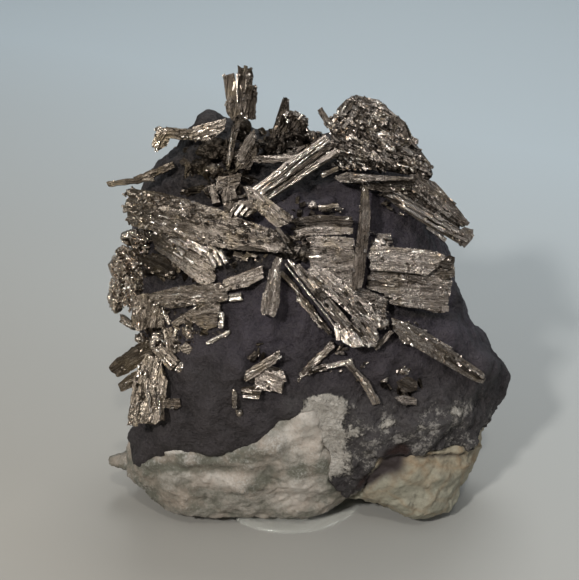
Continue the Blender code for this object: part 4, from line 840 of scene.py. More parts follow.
        Blade((13, -9.4), (15.6, -13.6), (20.8, 21), 0.8, 1, 0, "white"),
        Blade((14.4, -9.2), (17, -13.4), (20.8, 21), 0.7, 1, 0, "white"),
        Sheet(((14.4, -6.4), (17.6, -6.2), (19.6, -8.2), (21.6, -11.6), (20.3, -14), (18, -13.3),
            (15.6, -9.4)), (20, 19.4), -48, 1.8, "silver"),
        Blade((20.2, -14.1), (24.6, -9.6), (16.8, 16.8), 1.1, 1.4, 0, "smooth"),
        Sheet(((15.2, 0.4), (20, -0.5), (23.5, -2.3), (22.6, -7.4), (19, -6.6), (15.6, -2.6)),
            (17.4, 17), -12, 2.2, "felted"),
        Blade((14.6, -2.2), (21, -8), (19.6, 19.2), 0.9, 1.2, 0, "silver"),
        Blade((13.4, -9.9), (13.6, -12.4), (21, 21.2), 0.8, 0.8, 0, "clean"),
        Blade((11, -8), (11.6, -12), (20.6, 21), 1, 0.8, 0, "clean"),
        # A thin black sliver stands for the painted shade of a hole in the plate.
        Blade((16.6, -8.6), (18.6, -12.8), (20.9, 20.9), 0.3, 0.8, 0, "black"),
        Lump((22.2, -8), 16.6, (1.5, 1.4, 1.5)),
        Splinters(((-1, 7), (8, 5), (22, -7), (14, -12)),
            21, -46, 12, (0.4, 1.7), (0, 0.3), "glint", 0),
        Splinters(((-1, 7), (8, 5), (22, -7), (14, -12)),
            20, -46, 12, (1, 3.4), (0, 0.2), "dark", 0),
        Splinters(((14, -1), (22, -1), (24, -8), (18, -7)),
            16, -40, 40, (0.9, 2.4), (1.6, 3.2), "sheaf"),
    ),
    "lower_thin_blade": (
        Blade((0.4, 1.6), (10.2, -11), (17.2, 17.6), 1.2, 1.3, 0, "bright"),
        Splinters(((-1, 3), (2, 2), (11, -11), (9, -12)),
            7, -52, 14, (0.4, 1.2), (0, 0.3), "glint", 0),
        Blade((0.8, -0.6), (8, -9.2), (16.6, 17), 0.9, 1.2, 0, "twig"),
        Blade((-2.2, 4.4), (1, 1), (18, 17.6), 1.2, 1.3, 0, "bright"),
    ),
    "hanging_blade": (
        Sheet(((-3.4, 8.3), (-2, 8), (-2.1, 2.4), (-2.5, -3.4), (-3.7, -7.1), (-6.8, -5.6),
            (-6.1, 0), (-4.6, 5)), (22, 20.4), -98, 2, "plate"),
        Blade((-2.6, 6), (-3, -4.6), (22.6, 21.4), 0.5, 0.8, 0, "silver"),
    ),
    "right_long_blade": (
        Sheet(((24.2, -6.6), (29, -8.4), (34.9, -11.6), (41, -16), (47.6, -20.3), (47.3, -22.2),
            (46.3, -22.7), (41.8, -20.4), (37.7, -18), (33.5, -15.7), (30.6, -13.3), (27.1, -12.5),
            (24.2, -9.6)), (16.2, 9), -31, 2.2, "silver"),
        Blade((28, -8.6), (40, -15.6), (16.4, 13), 0.8, 1, 0, "sheaf"),
        Blade((36, -15.4), (46.6, -21.6), (13.6, 10.4), 0.8, 1, 0, "dark"),
        Blade((35.8, -12.4), (38.6, -14.2), (14.8, 14), 0.6, 0.8, 0, "white"),
        Splinters(((26, -8), (46, -20), (47, -22), (28, -12)),
            8, -32, 14, (0.4, 1.1), (0, 0.3), "glint", 0),
        Splinters(((26, -7), (32, -8), (32, -12), (26, -11)),
            8, -30, 30, (1, 2.6), (1.6, 3), "ragged"),
    ),
    "lower_middle_cross": (
        Sheet(((-11.4, -20), (-10.6, -22), (-7, -19.8), (-1.4, -16), (-2.6, -14.2), (-6.6, -17)),
            (16, 18), 34, 1.5, "plate"),
        Sheet(((-8.4, -20.4), (-5.6, -18.6), (-4.4, -19.8), (-1.8, -18.9), (-0.6, -21.6),
            (-1.8, -22.4), (-1.6, -24.6), (-3.6, -23.6), (-4.4, -24.4), (-6, -22.8), (-8.4, -23.6)),
            (15.6, 16.2), -24, 1.5, "plate"),
        Sheet(((-11.8, -23.2), (-8, -22.9), (-6.4, -23.8), (-7.4, -26), (-11.2, -25.6)),
            (14.6, 15.2), -2, 1.4, "bright"),
        Blade((-13.3, -23.6), (-13.1, -28.6), (15.2, 14.8), 1.1, 1.3, 0, "twig"),
        Lump((-12, -29.2), 13.6, (1, 0.9, 0.9)),
        Lump((-11.6, -17.4), 13.8, (1.2, 1.7, 1.3)),
        Splinters(((-12, -26), (-12, -19), (-1, -14), (-1, -24)),
            8, 20, 60, (0.4, 0.9), (0, 0.3), "glint", 0),
        Splinters(((-10, -13), (-7, -12.6), (-6, -16), (-9, -17)),
            8, 50, 40, (1.2, 3), (0.4, 1.6), "dark"),
        Splinters(((-13, -16), (-7, -15), (-2, -19), (-4, -25), (-12, -24)),
            12, 30, 50, (1.2, 3), (0.2, 1.4), "dull"),
    ),
    "twigs": (
        Blade((2.6, -20.5), (10.8, -12.3), (14.4, 17), 1.6, 1.6, 0, "twig"),
        Blade((2.4, -20.3), (9.2, -18), (14.4, 16), 1.4, 1.5, 0, "bright"),
        Blade((8.4, -18.3), (15, -16.9), (16, 16), 1.3, 1.5, 0, "white"),
        Blade((13.4, -17), (18.4, -22.6), (16, 15), 1.6, 1.6, 0, "twig"),
        Blade((17.6, -21.4), (20.8, -27.3), (15, 13.4), 1.9, 1.7, 0, "twig"),
        Splinters(((2, -21), (2, -17), (12, -12), (20, -17), (22, -28), (14, -20)),
            10, 20, 60, (0.4, 1), (0, 0.3), "glint", 0),
        Splinters(((2, -21), (2, -17), (12, -13), (19, -17), (22, -24), (14, -20)),
            12, 20, 60, (0.8, 2.4), (0.2, 1.4), "twig"),
    ),
    "small_plate": (
        Sheet(((24.6, -25.4), (27.6, -25), (30.6, -26), (30.2, -27.4), (27, -27.2)),
            (13, 12.6), -10, 1.3, "smooth"),
        Sheet(((25.2, -22), (27.6, -20.4), (30.4, -21.6), (30.6, -23.8), (27, -24.4)),
            (13.2, 12.6), -20, 1.4, "dull"),
        Lump((22, -19.6), 12.8, (1.9, 2.4, 1.6)),
        Lump((27, -19.2), 12.4, (1.6, 1.2, 1.3)),
        Crags(((19, -17), (25, -17), (32, -22), (30, -28), (22, -24)), 18, (0.5, 1.3), (0.02, 0.2)),
    ),
    "far_side_left": (
        Blade((-14, 33), (-25, 24), (-17, -20), 4.2, 2.6, 0, "sheaf"),
        Blade((-22, 30), (-17, 20), (-18, -23), 3.2, 2.4, 0, "plate"),
        Blade((-13, 35), (-5, 27), (-15, -22), 3, 2.2, 0, "plate"),
        Splinters(((-26, 34), (-4, 36), (-6, 16), (-28, 14)),
            34, 40, 70, (2, 6), (-0.5, 0.3), "sheaf", -1),
    ),
    "far_side_right": (
        Blade((33, 14), (27, 26), (-16, -14), 4, 2.6, 0, "sheaf"),
        Blade((34, 4), (31, 16), (-19, -16), 3.2, 2.4, 0, "plate"),
        Splinters(((10, 30), (32, 26), (36, 0), (18, -6), (8, 10)),
            26, 120, 60, (2, 6), (-0.5, 0.3), "sheaf", -1),
    ),
}
STATION = 0.66  # mm between the sections along a blade
STRIATION = 0.27  # mm between the striations across it
STRIATION_GAP = 0.06  # mm at most between a lath's edge and its first striation
CHAMFER = 0.07  # mm taken off the edges of a lath and the ends of a slab
CRACK_DEPTH = 0.15  # mm that a crack is deeper than a groove
SHADE_BESIDE_CRACK, SHADE_BESIDE_GROOVE, SHADE_IN_GROOVE = 0.6, 0.9, 0.8  # shares of a lath's brightness left where painted shade darkens it beside a crack, beside a groove and in the groove
MOST_SLANT = 0.4  # of a slab's ends: a share of half its width or a fifth of its length
MOST_RAGGED = 2.6  # mm lost at ragged ends
THINNEST, CLOSEST = 0.12, 0.1  # mm at least from a slab's top to its base, and to its underside
UNDERSIDE_WIDTH = 0.97  # of the top's
UNDERSIDE_GRAIN = 23  # mm between the grain coordinates of a slab's top and underside
# The waviness of a slab's sides, as noise: turns per mm, shift and row.
BEND, NOTCH, FRAY = (0.45, 0, 7), (1.1, 5, 9), (2.3, 11, 5)
CLEAR_OF_ROCK, MOST_LIFT = 0.9, 1.8  # mm: a plate that would sink into the rock is lifted
CRUMB_DRAWS = 61  # range of the noise from which a plate's patches of crumbs are drawn
TRIES = 50  # for each strewn place, before strewing stops short
LUMP_RINGS, LUMP_SEGMENTS = 20, 34
LUMP_GRAINS = 0.8  # per mm2 of a lump


class Heap:
    """Closed shapes gathered for one mesh, with the grain and tone of each point."""

    def __init__(self):
        self.points, self.faces, self.grain, self.tone = [], [], [], []

    def skin(self, rings, grains, tone):
        """A closed skin over rings of equally many points.

        tone is one number, or a list with one for each point of a ring.
        """
        first, size = len(self.points), len(rings[0])
        tones = [tone] * size if isinstance(tone, (int, float)) else tone
        for ring, grain in zip(rings, grains):
            self.points.extend(ring)
            self.grain.extend(grain)
            self.tone.extend(tones)
        for k in range(len(rings) - 1):
            low, high = first + k * size, first + (k + 1) * size
            for i in range(size):
                j = (i + 1) % size
                self.faces.append((low + i, low + j, high + j, high + i))
        self.faces.append(tuple(range(first + size - 1, first - 1, -1)))
        last = first + (len(rings) - 1) * size
        self.faces.append(tuple(range(last, last + size)))

    def block(self, centre, half_sizes, turn, tone, chance):
        """A small skewed block at a world point; half sizes in mm."""
        rings, grains = [], []
        for k in (-1, 1):
            ring, grain = [], []
            for i, j in ((-1, -1), (1, -1), (1, 1), (-1, 1)):
                place = Vector([side * size * chance.uniform(0.75, 1.1)
                                for side, size in zip((i, j, k), half_sizes)])
                ring.append(centre + turn @ place * MM)
                grain.append(place + centre / MM)
            rings.append(ring)
            grains.append(grain)
        self.skin(rings, grains, tone)

    def to_object(self, name, finish, slot):
        """A linked object that rides on the root body."""
        mesh = bpy.data.meshes.new(name)
        mesh.from_pydata([tuple(p) for p in self.points], [], self.faces)
        mesh.update()
        grain = mesh.attributes.new("grain", "FLOAT_VECTOR", "POINT")
        grains = np.array([tuple(g) for g in self.grain], np.float32)
        grain.data.foreach_set("vector", grains.ravel())
        tone = mesh.attributes.new("tone", "FLOAT", "POINT")
        tone.data.foreach_set("value", np.array(self.tone, np.float32))
        mesh.materials.append(finish)
        return enter(bpy.data.objects.new(name, mesh), slot)


def enter(made, slot):
    """Links an object and lets it ride on the root body."""
    bpy.context.scene.collection.objects.link(made)
    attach(made, ROOT)
    return made


def lath_columns(width, growth, relief, chance):
    """Columns across a blade: place, level, share of the ragged ends and tone of each, in mm; the
    tone holds painted shade at grooves and cracks.
    """
    count = max(1, round(width / growth.lath))
    shares = [chance.uniform(0.45, 1.55) for _ in range(count)]
    left = -width / 2
    tilt = math.tan(math.radians(growth.tilt))
    columns = []
    for i, share in enumerate(shares):
        right = left + width * share / sum(shares)
        middle, half = (left + right) / 2, (right - left) / 2
        edge = abs(middle) / (width / 2)
        level = relief * growth.relief * (chance.uniform(-1, 0.5) - 0.5 * edge ** 3)
        slope = tilt * chance.uniform(-1, 1)
        late, short = chance.random(), chance.random()
        tone = max(0, growth.tone + growth.varied * chance.uniform(-1, 1))
        ridges = max(2, round((right - left) / STRIATION))
        gap = min(STRIATION_GAP, half * 0.2)
        cracked = i < count - 1 and chance.random() < growth.cracks
        edge_shade = SHADE_BESIDE_CRACK if cracked else SHADE_BESIDE_GROOVE
        columns.append((left, level - slope * half - CHAMFER, late, short, tone * edge_shade))
        for k in range(ridges + 1):
            x = left + gap + (right - left - 2 * gap) * k / ridges
            height = level + slope * (x - middle) + growth.fine * chance.uniform(-1, 1)
            columns.append((x, height, late + chance.uniform(-0.15, 0.15),
                            short + chance.uniform(-0.15, 0.15),
                            max(0, tone + chance.uniform(-0.06, 0.06))))
        groove = CHAMFER
        if cracked:
            groove = relief * growth.relief * chance.uniform(0.8, 2) + CRACK_DEPTH
        # Painted shade: a crack is painted black and a groove darker.
        columns.append((right - 0.02, level + slope * half - groove, late, short,
                        0 if cracked else tone * SHADE_IN_GROOVE))
        left = right
    return columns


def grow_slab(heap, spot, ends, width, heights, growth, relief, chance, spark=False):
    """A slab of laths side by side, striated along its length, with ragged ends and wavy sides.

    spot(s, x, y) gives the world point and ends(x) a lath's start and end. heights is the bottom
    and the top in mm. The underside has every second point of the top.
    """
    bottom, top = heights
    columns = lath_columns(width, growth, relief, chance)
    spans = [ends(column[0]) for column in columns]
    length = max(end - start for start, end in spans)
    slants = [chance.uniform(-MOST_SLANT, MOST_SLANT) * min(0.5 * width, 0.2 * length)
              for _ in range(2)]
    steps = max(2, round(length / STATION))
    seed = chance.uniform(0, 99)
    rings, grains = [], []
    for k in range(-1, steps + 2):
        share = min(1, max(0, k / steps))
        capped = k in (-1, steps + 1)
        sway = []
        for side in (0, 1):
            bend, notch, fray = (
                noise.noise(Vector((share * length * turns, seed + shift, row * side)))
                for turns, shift, row in (BEND, NOTCH, FRAY))
            sway.append(growth.wavy * (bend + 0.5 * round(notch * 2.4) / 2.4 + 0.6 * fray))
        ring, grain, under, under_grain = [], [], [], []
        for (x, level, late, short, _), (start, end) in zip(columns, spans):
            lost = min(growth.ragged * (end - start), MOST_RAGGED)
            first = start + lost * late + slants[0] * x / width
            last = end - lost * short + slants[1] * x / width
            s = first + (last - first) * share
            across = x / width
            x_here = x + sway[0] * (0.5 - across) + sway[1] * (0.5 + across)
            bulge = noise.noise(Vector((s * 0.3, x * 0.25, seed + 3)))
            x_here += growth.wavy * (1 - 4 * across * across) * bulge
            swell = noise.noise(Vector((x * 0.9, s * 0.16, seed)))
            jump = noise.noise(Vector((x * 0.55 + 31, s * 0.3, seed)))
            rise = level + relief * growth.relief * ((0.2 + growth.wavy) * swell
                                                     + growth.wavy * 0.9 * round(jump * 2.2))
            rise -= CHAMFER * 1.5 if capped else 0
            y = max(top + rise, bottom + THINNEST)
            dip = growth.relief + CHAMFER if capped else 0.5 * growth.relief * (swell + 0.6)
            ring.append(spot(s, x_here, y))
            grain.append(Vector((s, x, y)))
            under.append(spot(s, x_here * UNDERSIDE_WIDTH, min(bottom + dip, y - CLOSEST)))
            under_grain.append(Vector((s, x, y + UNDERSIDE_GRAIN)))
        rings.append(ring + under[::-1][::2])
        grains.append(grain + under_grain[::-1][::2])
    # A slab made to spark takes the glint tone at every point: it is a painted glint.
    tones = [PAINTED_GLINT_TONE if spark else column[4] for column in columns]
    heap.skin(rings, grains, tones + tones[::-1][::2])


def grow_plate(heap, spot, ends, width, thick, growth, relief, chance, turned):
    """A slab with shorter laths laid over it and crumbs on top.

    turned is the matrix of its three directions: along, across and up.
    """
    top = thick * 0.5 - relief * growth.relief * 0.8
    grow_slab(heap, spot, ends, width, (-thick / 2, top), growth, relief, chance)
    middle = ends(0)
    length = middle[1] - middle[0]
    for _ in range(round(growth.overlays * length / 10 * (0.6 + width / 4))):
        wide = min(width * 0.8, chance.uniform(0.4, 1.5))
        x_mid = chance.uniform(-0.5, 0.5) * (width - wide)
        start, end = ends(x_mid)
        reach = (end - start) * chance.uniform(0.1, 0.5)
        begin = start + chance.uniform(-0.01, 1.01) * (end - start - reach)
        lift = relief * growth.relief * chance.uniform(0.3, 1.5) + 0.05
        askew = chance.uniform(-1, 1) * math.tan(math.radians(growth.tilt * 0.3))

        def laid(s, x, y):
            """A point of a lath that lies on the plate, a little askew."""
            return spot(s, x + x_mid + askew * (s - begin - reach / 2), y)

        # Some overlays become narrow slivers painted near-white as glints.
        spark = chance.random() < growth.sparks
        if spark:
            wide, reach = wide * 0.35, min(reach, 3)
        grow_slab(heap, laid, lambda x: (begin, begin + reach), wide, (top - 0.5, top + lift),
                  growth, relief * 0.5, chance, spark)
    drift = chance.uniform(0, CRUMB_DRAWS)
    for _ in range(round(growth.crumbs * length * width)):
        x = chance.uniform(-0.5, 0.5) * width
        start, end = ends(x)
        s = start + chance.uniform(0.02, 0.98) * (end - start)
        if noise.noise(Vector((s * 0.3, x * 0.3, drift))) < -0.05:
            continue
        size = chance.uniform(0.1, 0.28)
        turn = turned @ Euler([chance.uniform(-0.6, 0.6) for _ in range(3)]).to_matrix()
        # Some crumbs are painted near-white as glints.
        tone = PAINTED_GLINT_TONE if chance.random() < growth.sparks else chance.uniform(0.1, 0.8)
        heap.block(spot(s, x, top + chance.uniform(-0.1, 0.25)), (size * 1.6, size, size), turn,
                   tone, chance)


def grow_blade(heap, blade, chance, relief):
    """A straight blade between two places."""
    root, tip = (face_point(*place, depth)
                 for place, depth in zip((blade.root, blade.tip), blade.depth))
    length = (tip - root).length / MM
    axis = (tip - root).normalized()
    side = axis.cross(OUT).normalized()
    up = side.cross(axis)
    roll = math.radians(blade.roll)
    c, k = math.cos(roll), math.sin(roll)
    side, up = side * c + up * k, up * c - side * k

    def spot(s, x, y):
        """The world point at s along, x across and y above the blade's middle."""
        spread = 1 + (blade.taper - 1) * min(1, max(0, s / length))
        return root + (axis * s + side * (x * spread) + up * y) * MM

    grow_plate(heap, spot, lambda x: (0, length), blade.width, blade.thick, GROWTHS[blade.growth],
               relief, chance, Matrix((axis, side, up)).transposed())


def chord(corners, x):
    """Start and end of the line at x through an outline of (s, x) corners."""
    cuts = []
    for (s0, x0), (s1, x1) in zip(corners, corners[1:] + corners[:1]):
        if (x0 - x) * (x1 - x) <= 0 and x0 != x1:
            cuts.append(s0 + (s1 - s0) * (x - x0) / (x1 - x0))
    return min(cuts), max(cuts)


def grow_sheet(heap, sheet, chance, relief):
    """A plate that fills an outline, with its laths along one direction."""
    turn = math.radians(sheet.turn)
    c, k = math.cos(turn), math.sin(turn)
    corners = [(a * c + u * k, a * k - u * c) for a, u in sheet.outline]
    low, high = min(x for _, x in corners), max(x for _, x in corners)
    middle, width = (low + high) / 2, (high - low) * 0.99
    start, end = min(s for s, _ in corners), max(s for s, _ in corners)
    near, far, gain, arch = (*sheet.depth, 0, 0)[:4]

    def depth_at(s, x):
        """Depth of the plate's middle at s along and x across."""
        t = (s - start) / (end - start)
        return near + (far - near) * t + gain * x / width + arch * 4 * t * (1 - t)

    lift = 0
    centre = Vector([sum(corner[n] for corner in corners) / len(corners) for n in (0, 1)])
    for corner in corners:
        s, x = centre.lerp(Vector(corner), 0.7)
        rock = rock_depth((s * c + x * k, s * k - x * c), 1)
        if rock is not None:
            lift = min(MOST_LIFT, max(lift, rock + CLEAR_OF_ROCK - depth_at(s, x - middle)))

    def spot(s, x, y):
        """The world point at s along, x across and y above the plate's middle."""
        x_seen = x + middle
        return face_point(s * c + x_seen * k, s * k - x_seen * c, depth_at(s, x) + lift + y)

    axis, side = ACROSS * c + UP * k, ACROSS * k - UP * c
    grow_plate(heap, spot, lambda x: chord(corners, x + middle), width, sheet.thick,
               GROWTHS[sheet.growth], relief, chance, Matrix((axis, side, OUT)).transposed())


def inside(outline, a, u):
    """Whether a place is within an outline."""
    within = False
    for (a0, u0), (a1, u1) in zip(outline, outline[1:] + outline[:1]):
        if (u0 > u) != (u1 > u) and a < a0 + (a1 - a0) * (u - u0) / (u1 - u0):
            within = not within
    return within


def rock_depth(place, side, skins=ROCK_SKINS):
    """Depth in mm of the skins at a seen place, or None where they aren't met.

    side is 1 or 0 for the display side and -1 for the far side.
    """
    if side >= 0:
        start, ray = EYE, (face_point(*place, 0) - EYE).normalized()
    else:
        start, ray = face_point(*place, 0) - OUT * 0.2, OUT
    hits = [skin.ray_cast(start, ray) for skin in skins]
    hits = [hit for hit in hits if hit[0] is not None]
    if not hits:
        return None
    return (min(hits, key=lambda hit: hit[3])[0] - FACE_CENTRE).dot(OUT) / MM


def strewn(outline, count, side, chance, skins=ROCK_SKINS):
    """Chance places (across, up, depth of the skins) within an outline, on one side of the rock."""
    across, up = ([corner[n] for corner in outline] for n in (0, 1))
    grown = tries = 0
    while grown < count and tries < TRIES * count:
        tries += 1
        place = chance.uniform(min(across), max(across)), chance.uniform(min(up), max(up))
        depth = rock_depth(place, side, skins)
        if depth is not None and inside(outline, *place):
            grown += 1
            yield *place, depth


def grow_splinters(heap, splinters, chance, relief):
    """Small blades strewn over part of the rock."""
    skins = ROCK_SKINS if splinters.side else [BVHTree.FromPolygons(heap.points, heap.faces)]
    for a, u, depth in strewn(splinters.outline, splinters.count, splinters.side, chance, skins):
        turn = math.radians(splinters.turn + chance.uniform(-1, 1) * splinters.spread)
        length = chance.uniform(*splinters.lengths)
        depth += (splinters.side or 1) * chance.uniform(*splinters.lifts)
        half_a, half_u = math.cos(turn) * length / 2, math.sin(turn) * length / 2
        pitch = length * chance.uniform(-0.3, 0.3)
        width = max(0.4, length * chance.uniform(0.18, 0.45))
        thick, roll = chance.uniform(0.6, 1.1), chance.uniform(-35, 35)
        splinter = Blade((a - half_a, u - half_u), (a + half_a, u + half_u),
                         (depth - pitch, depth + pitch), width, thick, roll, splinters.growth,
                         chance.uniform(0.5, 1.1))
        grow_blade(heap, splinter, chance, relief)


def grow_crags(heap, crags, chance, relief):
    """Shards of dark metal half sunk in the rock."""
    for a, u, depth in strewn(crags.outline, crags.count, 1, chance):
        size = chance.uniform(*crags.sizes)
        turn = Euler([chance.uniform(-math.pi, math.pi) for _ in range(3)]).to_matrix()
        half_sizes = (size * chance.uniform(1.2, 2.4), size * chance.uniform(0.4, 0.9),
                      size * chance.uniform(0.3, 0.5))
        heap.block(face_point(a, u, depth - relief * size * chance.uniform(0, 0.4)), half_sizes,
                   turn, chance.uniform(*crags.tones), chance)


def grow_lump(heap, lump, chance, relief):
    """A knob with a craggy skin and small angular grains set in it."""
    middle = face_point(*lump.middle, lump.depth)
    size = Vector(lump.half_sizes)
    rings, grains = [], []
    for k in range(LUMP_RINGS + 1):
        rise = math.pi * (k + 0.15) / (LUMP_RINGS + 0.3) - math.pi / 2
        ring, grain = [], []
        for i in range(LUMP_SEGMENTS):
            turn = 2 * math.pi * i / LUMP_SEGMENTS
            ray = Vector((math.cos(turn) * math.cos(rise), math.sin(turn) * math.cos(rise),
                          math.sin(rise)))
            place = Vector([ray[n] * size[n] for n in range(3)]) + middle / MM
            nearest, second = noise.voronoi(place * 0.75)[0][:2]
            crag = 0.22 * (second - nearest) - 0.08
            rough = 0.84 + 0.55 * noise.noise(place * 0.4) + relief * crag
            a, u, d = (ray[n] * size[n] * rough for n in range(3))
            ring.append(middle + (ACROSS * a + UP * u + OUT * d) * MM)
            grain.append(Vector((a, u, d)) + middle / MM)
        rings.append(ring)
        grains.append(grain)
    heap.skin(rings, grains, lump.tone)
    surface = 4 * math.pi * ((size.x * size.y + size.y * size.z + size.x * size.z) / 3)
    for _ in range(round(surface * LUMP_GRAINS)):
        ray = Vector([chance.gauss(0, 1) for _ in range(3)]).normalized()
        a, u, d = (ray[n] * size[n] * chance.uniform(0.8, 0.93) for n in range(3))
        block = chance.uniform(0.1, 0.26)
        turn = Euler([chance.uniform(-math.pi, math.pi) for _ in range(3)]).to_matrix()
        half_sizes = (block * chance.uniform(1, 2.2), block, block * 0.7)
        # Some grains are painted near-white as glints.
        spark = chance.random() < 0.2 * lump.tone
        heap.block(middle + (ACROSS * a + UP * u + OUT * d) * MM, half_sizes, turn,
                   PAINTED_GLINT_TONE if spark else lump.tone * chance.uniform(0.6, 1.5), chance)


GROWERS = {Blade: grow_blade, Sheet: grow_sheet, Lump: grow_lump, Splinters: grow_splinters,
           Crags: grow_crags}


def grow_group(name, finish, settings):
    """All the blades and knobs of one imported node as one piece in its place."""
    chance = random.Random(f"{name} {settings.seed}")
    heap = Heap()
    for shape in CRYSTALS[name]:
        GROWERS[type(shape)](heap, shape, chance, settings.relief)
    made = heap.to_object("dressed_" + name, finish, "silver_blades")
    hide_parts(name)


# ---------------------------------------------------------------- the rocks
STAND_TOP = 3.0 * MM
ROCK_CLEARANCE = 0.03 * MM
GROWN = 0.3 * MM  # closes the clearance between neighbouring layers

# A single form on a rock: its middle as seen and its half sizes (mm), its turn (degrees), and its
# height (mm) or strength.
Form = namedtuple("Form", "across up half_across half_up turn strength")
FORM_END = 2.2  # where a form ends, as the square of the distance in half sizes


def forms(*rows):
    """Forms from rows of their six values."""
    return [Form(*row) for row in rows]


# Bumps raised on the crust, the calcite and, further down, the host rock.
CRUST_FORMS = forms(
    (-19.5, 41, 3.6, 2.2, 10, 1.4), (-25, 31, 4, 1.6, 30, 1.2), (-21, 27, 4, 1.2, 35, 1.2),
    (-29, 25, 3, 1.2, 20, 0.9), (5.5, 20, 3.2, 1.3, 0, 2.0), (9.5, 20.8, 2, 1.2, -15, 2.2),
    (1.5, 22.5, 2.4, 1.4, 20, 1.6), (8, 24.5, 4, 1.5, 10, 1.2), (-10, -12, 1.6, 6, 12, 1.0),
    (-5, -10, 1.5, 5, -8, 0.9), (3, -8, 1.6, 5, -20, 0.8), (-13, -17, 2.6, 2, 0, 1.2),
    (-11.5, -19, 2.2, 1.8, 40, 1.6), (-24, -22, 2, 6, 6, 0.8), (-20, -30, 3, 4, -20, 1.2),
    (-29, -35, 3, 3, 0, 1.0), (-10, -30, 3, 3, 30, 1.0), (22, -19.5, 2.4, 2.2, 0, 1.8),
    (27.5, -22, 2.6, 2.2, -30, 1.7), (31, -25, 2, 1.6, 0, 1.2), (37, -12, 3, 4, 20, 1.0),
    (45.5, -17, 2.5, 4, 0, 1.0), (30, -32, 3, 3, 0, 1.0), (38, -30, 3, 2, 20, 1.0),
)
CALCITE_FORMS = forms(
    (-27, -38.4, 3.4, 1.4, 0, 1.5), (-20.6, -37.6, 2.2, 1.4, 10, 1.6), (-24, -40.6, 3, 1.2, 0, 1.0),
    (-16, -41, 3, 1.4, 0, 0.9), (4, -31, 3, 4, -20, 1.2), (-3, -36, 5, 2, 25, 1.4),
    (6, -40, 3, 3, 0, 0.8), (-12, -46, 6, 2, -6, 1.0), (2, -47, 4, 3, 0, 0.8),
    (9, -27, 1.8, 2.4, 0, 0.8), (-33, -41, 3, 1.2, 8, 0.8),
)
# Greenish-grey streaks on the calcite; paler grains, painted shade over angular facets around and
# under the crystals, and a white skin on the crust.
STAIN_FORMS = forms(
    (-22, -42.2, 12, 1.2, -3, 0.6), (-8, -46, 7, 1.6, 0, 0.4), (-34, -43, 6, 1.2, 6, 0.8),
    (-28, -50, 9, 2, -8, 0.5), (-41, -41, 5, 3, 0, 1), (-27, -40, 13, 1.8, 3, 1.1),
    (-11, -38.4, 6, 2, 0, 1), (-36, -46, 6, 4, -20, 0.7), (-27, -38.2, 2.8, 1.2, 0, -2),
    (-20.6, -37.4, 2, 1.1, 10, -2), (-16, -45, 8, 2.4, 0, -0.5), (1, -48, 6, 4, 0, -0.6),
    (4, -33, 5, 6, -30, -0.7), (4, -42.6, 5, 1.6, 10, 0.8), (12, -46, 3, 4, 0, 0.6),
)
ASH_FORMS = forms(
    (39, -28, 5, 1.6, 10, 3), (23.5, -31.6, 4.2, 1.2, 5, 3), (44.5, -29, 3, 1.6, 20, 2),
    (33, -30, 4, 1.4, -10, 2), (15, -27, 2.6, 1.8, 0, 1.6), (13, -37, 2.2, 3, 10, 2),
    (19, -36, 4, 2, 0, 1.5), (28, -35.6, 6, 1.4, 6, 2), (12, -29, 2, 2, 0, 2.4),
    (0.5, -26.6, 4, 2.4, 35, 3), (-7, -32.6, 4, 1.2, 35, 2.2), (-24, -37, 5, 1, 0, 1.6),
)
PAINTED_SHADE_FORMS = forms(
    (-17, 31, 12, 10, 20, 1.8), (3, 31, 14, 8, 5, 1.6), (-11, 6, 9, 4.6, -12, 1.3),
    (28, 22, 8, 5, -25, 0.5), (-29, 6, 7, 6, 0, 1.3), (-24, -7, 9, 4, 0, 0.8),
    (31, -5.9, 9, 1.1, -4, 1.0), (39.6, -2, 1.2, 5, 0, 0.8), (-3, 10, 6, 2, 10, 1.0),
    (24, -10, 3, 2, -40, 0.8),
)
CHALK_FORMS = forms(
    (5.5, -31, 3.6, 5, -38, 2.2), (8.4, -27.6, 2.4, 3.2, -20, 2.2), (6, -36, 5, 5, 0, 2),
    (10.5, -32, 2, 6, 0, 0.9), (9, -41, 3, 5, 0, 1.2), (4, -42, 4, 6, 0, 1.6),
    (12.6, -27.6, 2.6, 3.4, 0, 0.85), (13.4, -35, 2.6, 5, 0, 0.75), (13.6, -42, 3, 4, 0, 0.75),
    (16.6, -33, 2.4, 2, 0, 0.7), (23.4, -31.6, 3, 1.5, 10, 0.95), (39, -28.4, 2.6, 1.6, 0, 0.9),
    (5, -25.6, 3, 1.2, 20, 0.7), (31, -32, 3, 1.4, 0, 0.7), (18, -38, 2.4, 1.6, 0, 0.7),
)
HOST_FORMS = forms(
    (28, -45, 5, 3, 20, 1.2), (36, -44, 4, 2, -10, 1.0), (31, -51, 5, 3, 10, 1.2),
    (41, -40, 2, 5, 0, 1.2),
)
# The hollow, which runs over the host rock and the crust's edge: cut in and painted near-black
# maroon, partly its own colour and partly painted shade.
HOLLOW_FORMS = forms(
    (24.6, -41, 3, 3.4, 0, 1.6), (26.6, -38.4, 2, 1.6, 0, 1.6), (20, -44.8, 4.4, 1.5, 32, 1.5),
    (15.6, -48, 3, 0.8, 40, 1.2), (36, -39.6, 7, 0.4, 4, 0.9),
)


def share_of(form, across, up):
    """How much of a form, from 0 to 1, there is at arrays of seen places."""
    turn = math.radians(form.turn)
    c, s = math.cos(turn), math.sin(turn)
    a, u = across - form.across, up - form.up
    reach = ((a * c + u * s) / form.half_across) ** 2 + ((u * c - a * s) / form.half_up) ** 2
    return np.clip(1 - reach / FORM_END, 0, 1) ** 2


def strength_of(table, across, up):
    """Strength of all the forms of a table at arrays of seen places."""
    return sum(form.strength * share_of(form, across, up) for form in table)


def raised(height, table, across, up, front):
    """A height with the forms of a table on it, on the display side only."""
    for form in table:
        height = height + front * form.strength * share_of(form, across, up)
    return height


